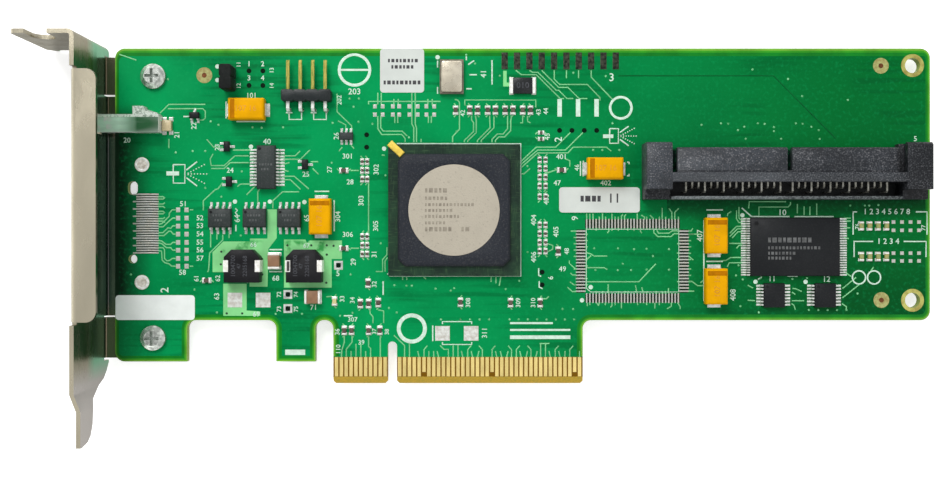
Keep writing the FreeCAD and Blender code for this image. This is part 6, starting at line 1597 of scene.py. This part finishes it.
def dress_tantalums():
    softened("tantalum_bodies", 0.14, finish("tantalum_resin_finish"))
    paint("tantalum_terminals", finish("tinned_finish"))
    bands, words = [], []
    for low, high in solid_boxes("tantalum_bodies"):
        x, y = middle_of(low, high)
        along_x = lies_along_x(low, high)
        if along_x:
            place, size = (low[0] + BAND_LENGTH, y), (BAND_LENGTH, high[1] - low[1] - BAND_MARGIN)
        else:
            place, size = (x, high[1] - BAND_LENGTH), (high[0] - low[0] - BAND_MARGIN, BAND_LENGTH)
        bands.append(box("band", (*place, high[2] + 0.004), (*size, BAND_RISE)))
        number = (TANTALUM_NUMBER, x, y, TANTALUM_NUMBER_SIZE, 0 if along_x else 90)
        words.append(numerals("number", [number], STAMP_RISE, high[2]))
    dress(join("polarity_bands", bands), finish("polarity_band_finish"))
    dress(join("tantalum_numbers", words), finish("burnt_number_finish"))


def dress_passives():
    softened("inductor_bodies", 0.25, moulded_finish("ferrite_finish", "ferrite", (0.4, 0.6), 0.3, pale=1.2))
    coat = moulded_finish("resistor_coat_finish", "resistor_coat", (0.2, 0.4))
    softened("sense_resistor_body", 0.1, coat)
    words = []
    for low, high in solid_boxes("inductor_bodies"):
        x, y = middle_of(low, high)
        rows = [(digits, x + aside, y, size, 90) for digits, aside, size in INDUCTOR_ROWS]
        words.append(numerals("number", rows, STAMP_RISE, high[2]))
    for low, high in solid_boxes("sense_resistor_body"):
        number = (RESISTOR_NUMBER, *middle_of(low, high), RESISTOR_NUMBER_SIZE, 0)
        words.append(numerals("number", [number], STAMP_RISE, high[2]))
    dress(join("stamped_numbers", words), finish("stamped_number_finish"))
    softened("ceramic_bodies", 0.1, finish("ceramic_finish"))
    small = finish("small_part_finish")
    tree, axes = axes_of(small)
    recolour(small, inside(tree, axes, *PALE_PART, 0.05), "pale_part")
    softened("chip_part_bodies", 0.04, small, 1)
    capped = finish("end_cap_finish")
    tree, axes = axes_of(capped)
    recolour(capped, inside(tree, axes, *DARK_TERMINAL, 0.12), "tarnish")
    for node, width in END_EDGES.items():
        softened(node, width, capped, 1)
    softened("status_lamp_lenses", 0.12, finish("lamp_lens_finish"))


def dress_oscillator():
    paint("oscillator_base", finish("oscillator_base_finish"))
    softened("oscillator_can", 0.2, finish("oscillator_can_finish"), 3)


# ------------ headers and stickers

# Below this Y the header pins are bent feet in solder.
FEET_BELOW = 59.2
# The plain number on the port's sticker, and how high it stands.
STICKER_NUMBER, STICKER_NUMBER_RISE = ("11", 45.6, 38.0, 2.0, 0), 0.012


def dress_headers():
    plastic = moulded_finish("header_plastic_finish", "header_plastic", (0.3, 0.5), 0.3)
    softened("led_header_body", 0.12, plastic)
    softened("jumper_base", 0.1, plastic)
    cap = moulded_finish("jumper_cap_finish", "jumper_cap", (0.6, 0.8), 0.3)
    softened("jumper_cap", 0.14, cap)
    pins = header_pin_finish()
    for node in ("led_header_pins", "jumper_pins"):
        paint(node, pins)


def header_pin_finish():
    """Thin gold flash on the posts and bright solder on the bent feet."""
    material, tree, shader, place = start_material("header_pin_finish")
    streaks = pattern(tree, place, 0.6, 0.4, 0.6, stretch=(2.5, 0.3, 1))
    tone = blend(tree, streaks, "post_flash", "post_shade")
    feet = compute(tree, "LESS_THAN", split(tree, place)["Y"], FEET_BELOW * MM)
    tone = blend(tree, feet, tone, "tin")
    surface(tree, shader, tone, spread(tree, streaks, 0.0, 1.0, 0.24, 0.4), Metallic=0.6)
    relief(tree, shader, noise(tree, place, 0.5, detail=4.0), 0.01)
    return material


def dress_stickers():
    for node in ("square_label", "port_label"):
        paint(node, finish("sticker_finish"))
    # Painted light: the serial label is painted paler than the other stickers.
    paint("serial_label", finish("fresh_sticker_finish"))
    print_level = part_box("port_label")[1].z / MM
    marks = [mark_rows("square_label"), mark_rows("port_label"),
             numerals("number", [STICKER_NUMBER], STICKER_NUMBER_RISE, print_level)]
    dress(join("sticker_print", marks), finish("sticker_ink"))


# ------------ stage

# The floor: its side, middle and distance below the card in metres, and how much of its white is its own.
FLOOR_SIDE, FLOOR_MIDDLE, FLOOR_DROP, FLOOR_GLOW = 3.0, (0.0266, 0.0295), 0.0002, 0.62
# Strength of the sky below and above.
SKY_LOW, SKY_HIGH = 0.85, 0.42
# Where each soft light stands, its side and its power setting; both look at the same place, all in metres.
LIGHT_TARGET = (0.02, 0.03, 0)
SOFT_LIGHTS = (("key_light", (-0.16, 0.4, 0.42), 0.3, "key_power"),
               ("fill_light", (0.3, -0.1, 0.5), 0.5, "fill_power"))


def stage_finish():
    """A pale floor that reads white to the eye and in gloss and still takes the card's soft shadow."""
    material = bpy.data.materials.new("floor_finish")
    material.use_nodes = True
    tree = material.node_tree
    shader = tree.nodes["Principled BSDF"]
    shader.inputs["Base Color"].default_value = (*setting("floor"), 1)
    shader.inputs["Roughness"].default_value = 0.9
    shader.inputs["Specular IOR Level"].default_value = 0.1
    rays = tree.nodes.new("ShaderNodeLightPath")
    seen = compute(tree, "MAXIMUM", rays.outputs["Is Camera Ray"], rays.outputs["Is Glossy Ray"])
    seen = compute(tree, "MAXIMUM", seen, rays.outputs["Is Transmission Ray"])
    shader.inputs["Emission Color"].default_value = (1, 1, 1, 1)
    tree.links.new(product(tree, seen, FLOOR_GLOW), shader.inputs["Emission Strength"])
    return material


def soft_light(name, place, size, power):
    data = bpy.data.lights.new(name, "AREA")
    data.size = size
    data.energy = power
    piece = bpy.data.objects.new(name, data)
    piece.location = place
    piece.rotation_euler = (Vector(LIGHT_TARGET) - Vector(place)).to_track_quat("-Z", "Y").to_euler()
    bpy.context.collection.objects.link(piece)


def set_stage(stage):
    clear_selection()
    bpy.ops.mesh.primitive_plane_add(size=FLOOR_SIDE, location=(*FLOOR_MIDDLE, CAD_BOX[0][2] - FLOOR_DROP))
    floor = settle(bpy.context.object)
    floor.name = "floor"
    floor.data.materials.append(stage_finish())
    world = bpy.data.worlds.new("soft_room")
    bpy.context.scene.world = world
    world.use_nodes = True
    tree = world.node_tree
    sky = tree.nodes["Background"]
    sky.inputs["Color"].default_value = (1, 1, 1, 1)
    place = tree.nodes.new("ShaderNodeTexCoord").outputs["Generated"]
    sky_level = spread(tree, split(tree, place)["Z"], 0.0, 1.0, SKY_LOW, SKY_HIGH)
    seen = tree.nodes.new("ShaderNodeLightPath").outputs["Is Camera Ray"]
    tree.links.new(compute(tree, "MAXIMUM", sky_level, seen), sky.inputs["Strength"])
    for name, place, size, power in SOFT_LIGHTS:
        soft_light(name, place, size, getattr(stage, power))
    data = bpy.data.cameras.new("overhead_camera")
    data.lens = stage.lens
    camera = bpy.data.objects.new("overhead_camera", data)
    camera.location = (stage.camera_x, stage.camera_y, BOARD_TOP * MM + stage.camera_height)
    bpy.context.collection.objects.link(camera)
    bpy.context.scene.camera = camera
    bpy.context.scene.view_settings.view_transform = "Standard"


# ------------ operators

class CardPiece:
    """What every operator of the card shares."""
    bl_options = {"REGISTER", "UNDO"}


class CARD_OT_board(CardPiece, Operator):
    """Finish the laminate, its mask, margin, registration marks and edge contacts"""
    bl_idname = "card.board"
    bl_label = "Board"

    def execute(self, context):
        dress_board()
        return {"FINISHED"}


class CARD_OT_copper(CardPiece, Operator):
    """Lay the outer traces, copper areas and covered vias"""
    bl_idname = "card.copper"
    bl_label = "Copper"

    def execute(self, context):
        dress_copper()
        return {"FINISHED"}


class CARD_OT_pads(CardPiece, Operator):
    """Stand solder under the leads and tin the empty pads"""
    bl_idname = "card.pads"
    bl_label = "Pads"

    def execute(self, context):
        dress_pads()
        return {"FINISHED"}


class CARD_OT_legend(CardPiece, Operator):
    """Print the outlines, marks and plain numbers"""
    bl_idname = "card.legend"
    bl_label = "Legend"

    def execute(self, context):
        dress_legend()
        return {"FINISHED"}


class CARD_OT_bracket(CardPiece, Operator):
    """Plate the folded bracket and its screws"""
    bl_idname = "card.bracket"
    bl_label = "Bracket"

    def execute(self, context):
        dress_bracket()
        return {"FINISHED"}


class CARD_OT_light_path(CardPiece, Operator):
    """Finish the light pipe and the indicator lamp behind it"""
    bl_idname = "card.light_path"
    bl_label = "Light Path"

    def execute(self, context):
        dress_light_path()
        return {"FINISHED"}


class CARD_OT_controller(CardPiece, Operator):
    """Finish the controller package and its heat slug"""
    bl_idname = "card.controller"
    bl_label = "Controller"

    def execute(self, context):
        dress_controller()
        return {"FINISHED"}


class CARD_OT_drive_port(CardPiece, Operator):
    """Finish the drive port's housing and contacts"""
    bl_idname = "card.drive_port"
    bl_label = "Drive Port"

    def execute(self, context):
        dress_drive_port()
        return {"FINISHED"}


class CARD_OT_chips(CardPiece, Operator):
    """Finish the leaded chips and mark their first pins"""
    bl_idname = "card.chips"
    bl_label = "Chips"

    def execute(self, context):
        dress_chips()
        return {"FINISHED"}


class CARD_OT_passives(CardPiece, Operator):
    """Finish the capacitors, inductors, oscillator and small chip parts"""
    bl_idname = "card.passives"
    bl_label = "Passives"

    def execute(self, context):
        dress_tantalums()
        dress_passives()
        dress_oscillator()
        return {"FINISHED"}


class CARD_OT_headers(CardPiece, Operator):
    """Finish the indicator header, the jumper and the stickers"""
    bl_idname = "card.headers"
    bl_label = "Headers"

    def execute(self, context):
        dress_headers()
        dress_stickers()
        return {"FINISHED"}


class CARD_OT_stage(CardPiece, Operator):
    """Set the floor, the soft lights and the overhead camera"""
    bl_idname = "card.stage"
    bl_label = "Stage"

    def execute(self, context):
        set_stage(context.scene.card_stage)
        return {"FINISHED"}


OPERATORS = (
    CARD_OT_board, CARD_OT_copper, CARD_OT_pads, CARD_OT_legend, CARD_OT_bracket, CARD_OT_light_path,
    CARD_OT_controller, CARD_OT_drive_port, CARD_OT_chips, CARD_OT_passives, CARD_OT_headers, CARD_OT_stage)
SETTINGS = {"card_board": BoardSettings, "card_metals": MetalSettings, "card_parts": PartSettings,
            "card_stage": StageSettings}


class CARD_PT_dressing(Panel):
    """Lists the card's pieces in the order in which they are made"""
    bl_idname = "CARD_PT_dressing"
    bl_label = "Controller Card"
    bl_space_type = "VIEW_3D"
    bl_region_type = "UI"
    bl_category = "Card"

    def draw(self, context):
        for operator in OPERATORS:
            self.layout.operator(operator.bl_idname)
        for name, settings in SETTINGS.items():
            column = self.layout.column(heading=name)
            for field in settings.__annotations__:
                column.prop(getattr(context.scene, name), field)


CLASSES = (*SETTINGS.values(), *OPERATORS, CARD_PT_dressing)


def register():
    for item in CLASSES:
        bpy.utils.register_class(item)
    for name, settings in SETTINGS.items():
        setattr(bpy.types.Scene, name, PointerProperty(type=settings))


def unregister():
    for name in SETTINGS:
        delattr(bpy.types.Scene, name)
    for item in reversed(CLASSES):
        bpy.utils.unregister_class(item)


def main():
    register()
    for operator in OPERATORS:
        getattr(bpy.ops.card, operator.bl_idname.split(".")[1])()


if __name__ == "__main__":
    main()
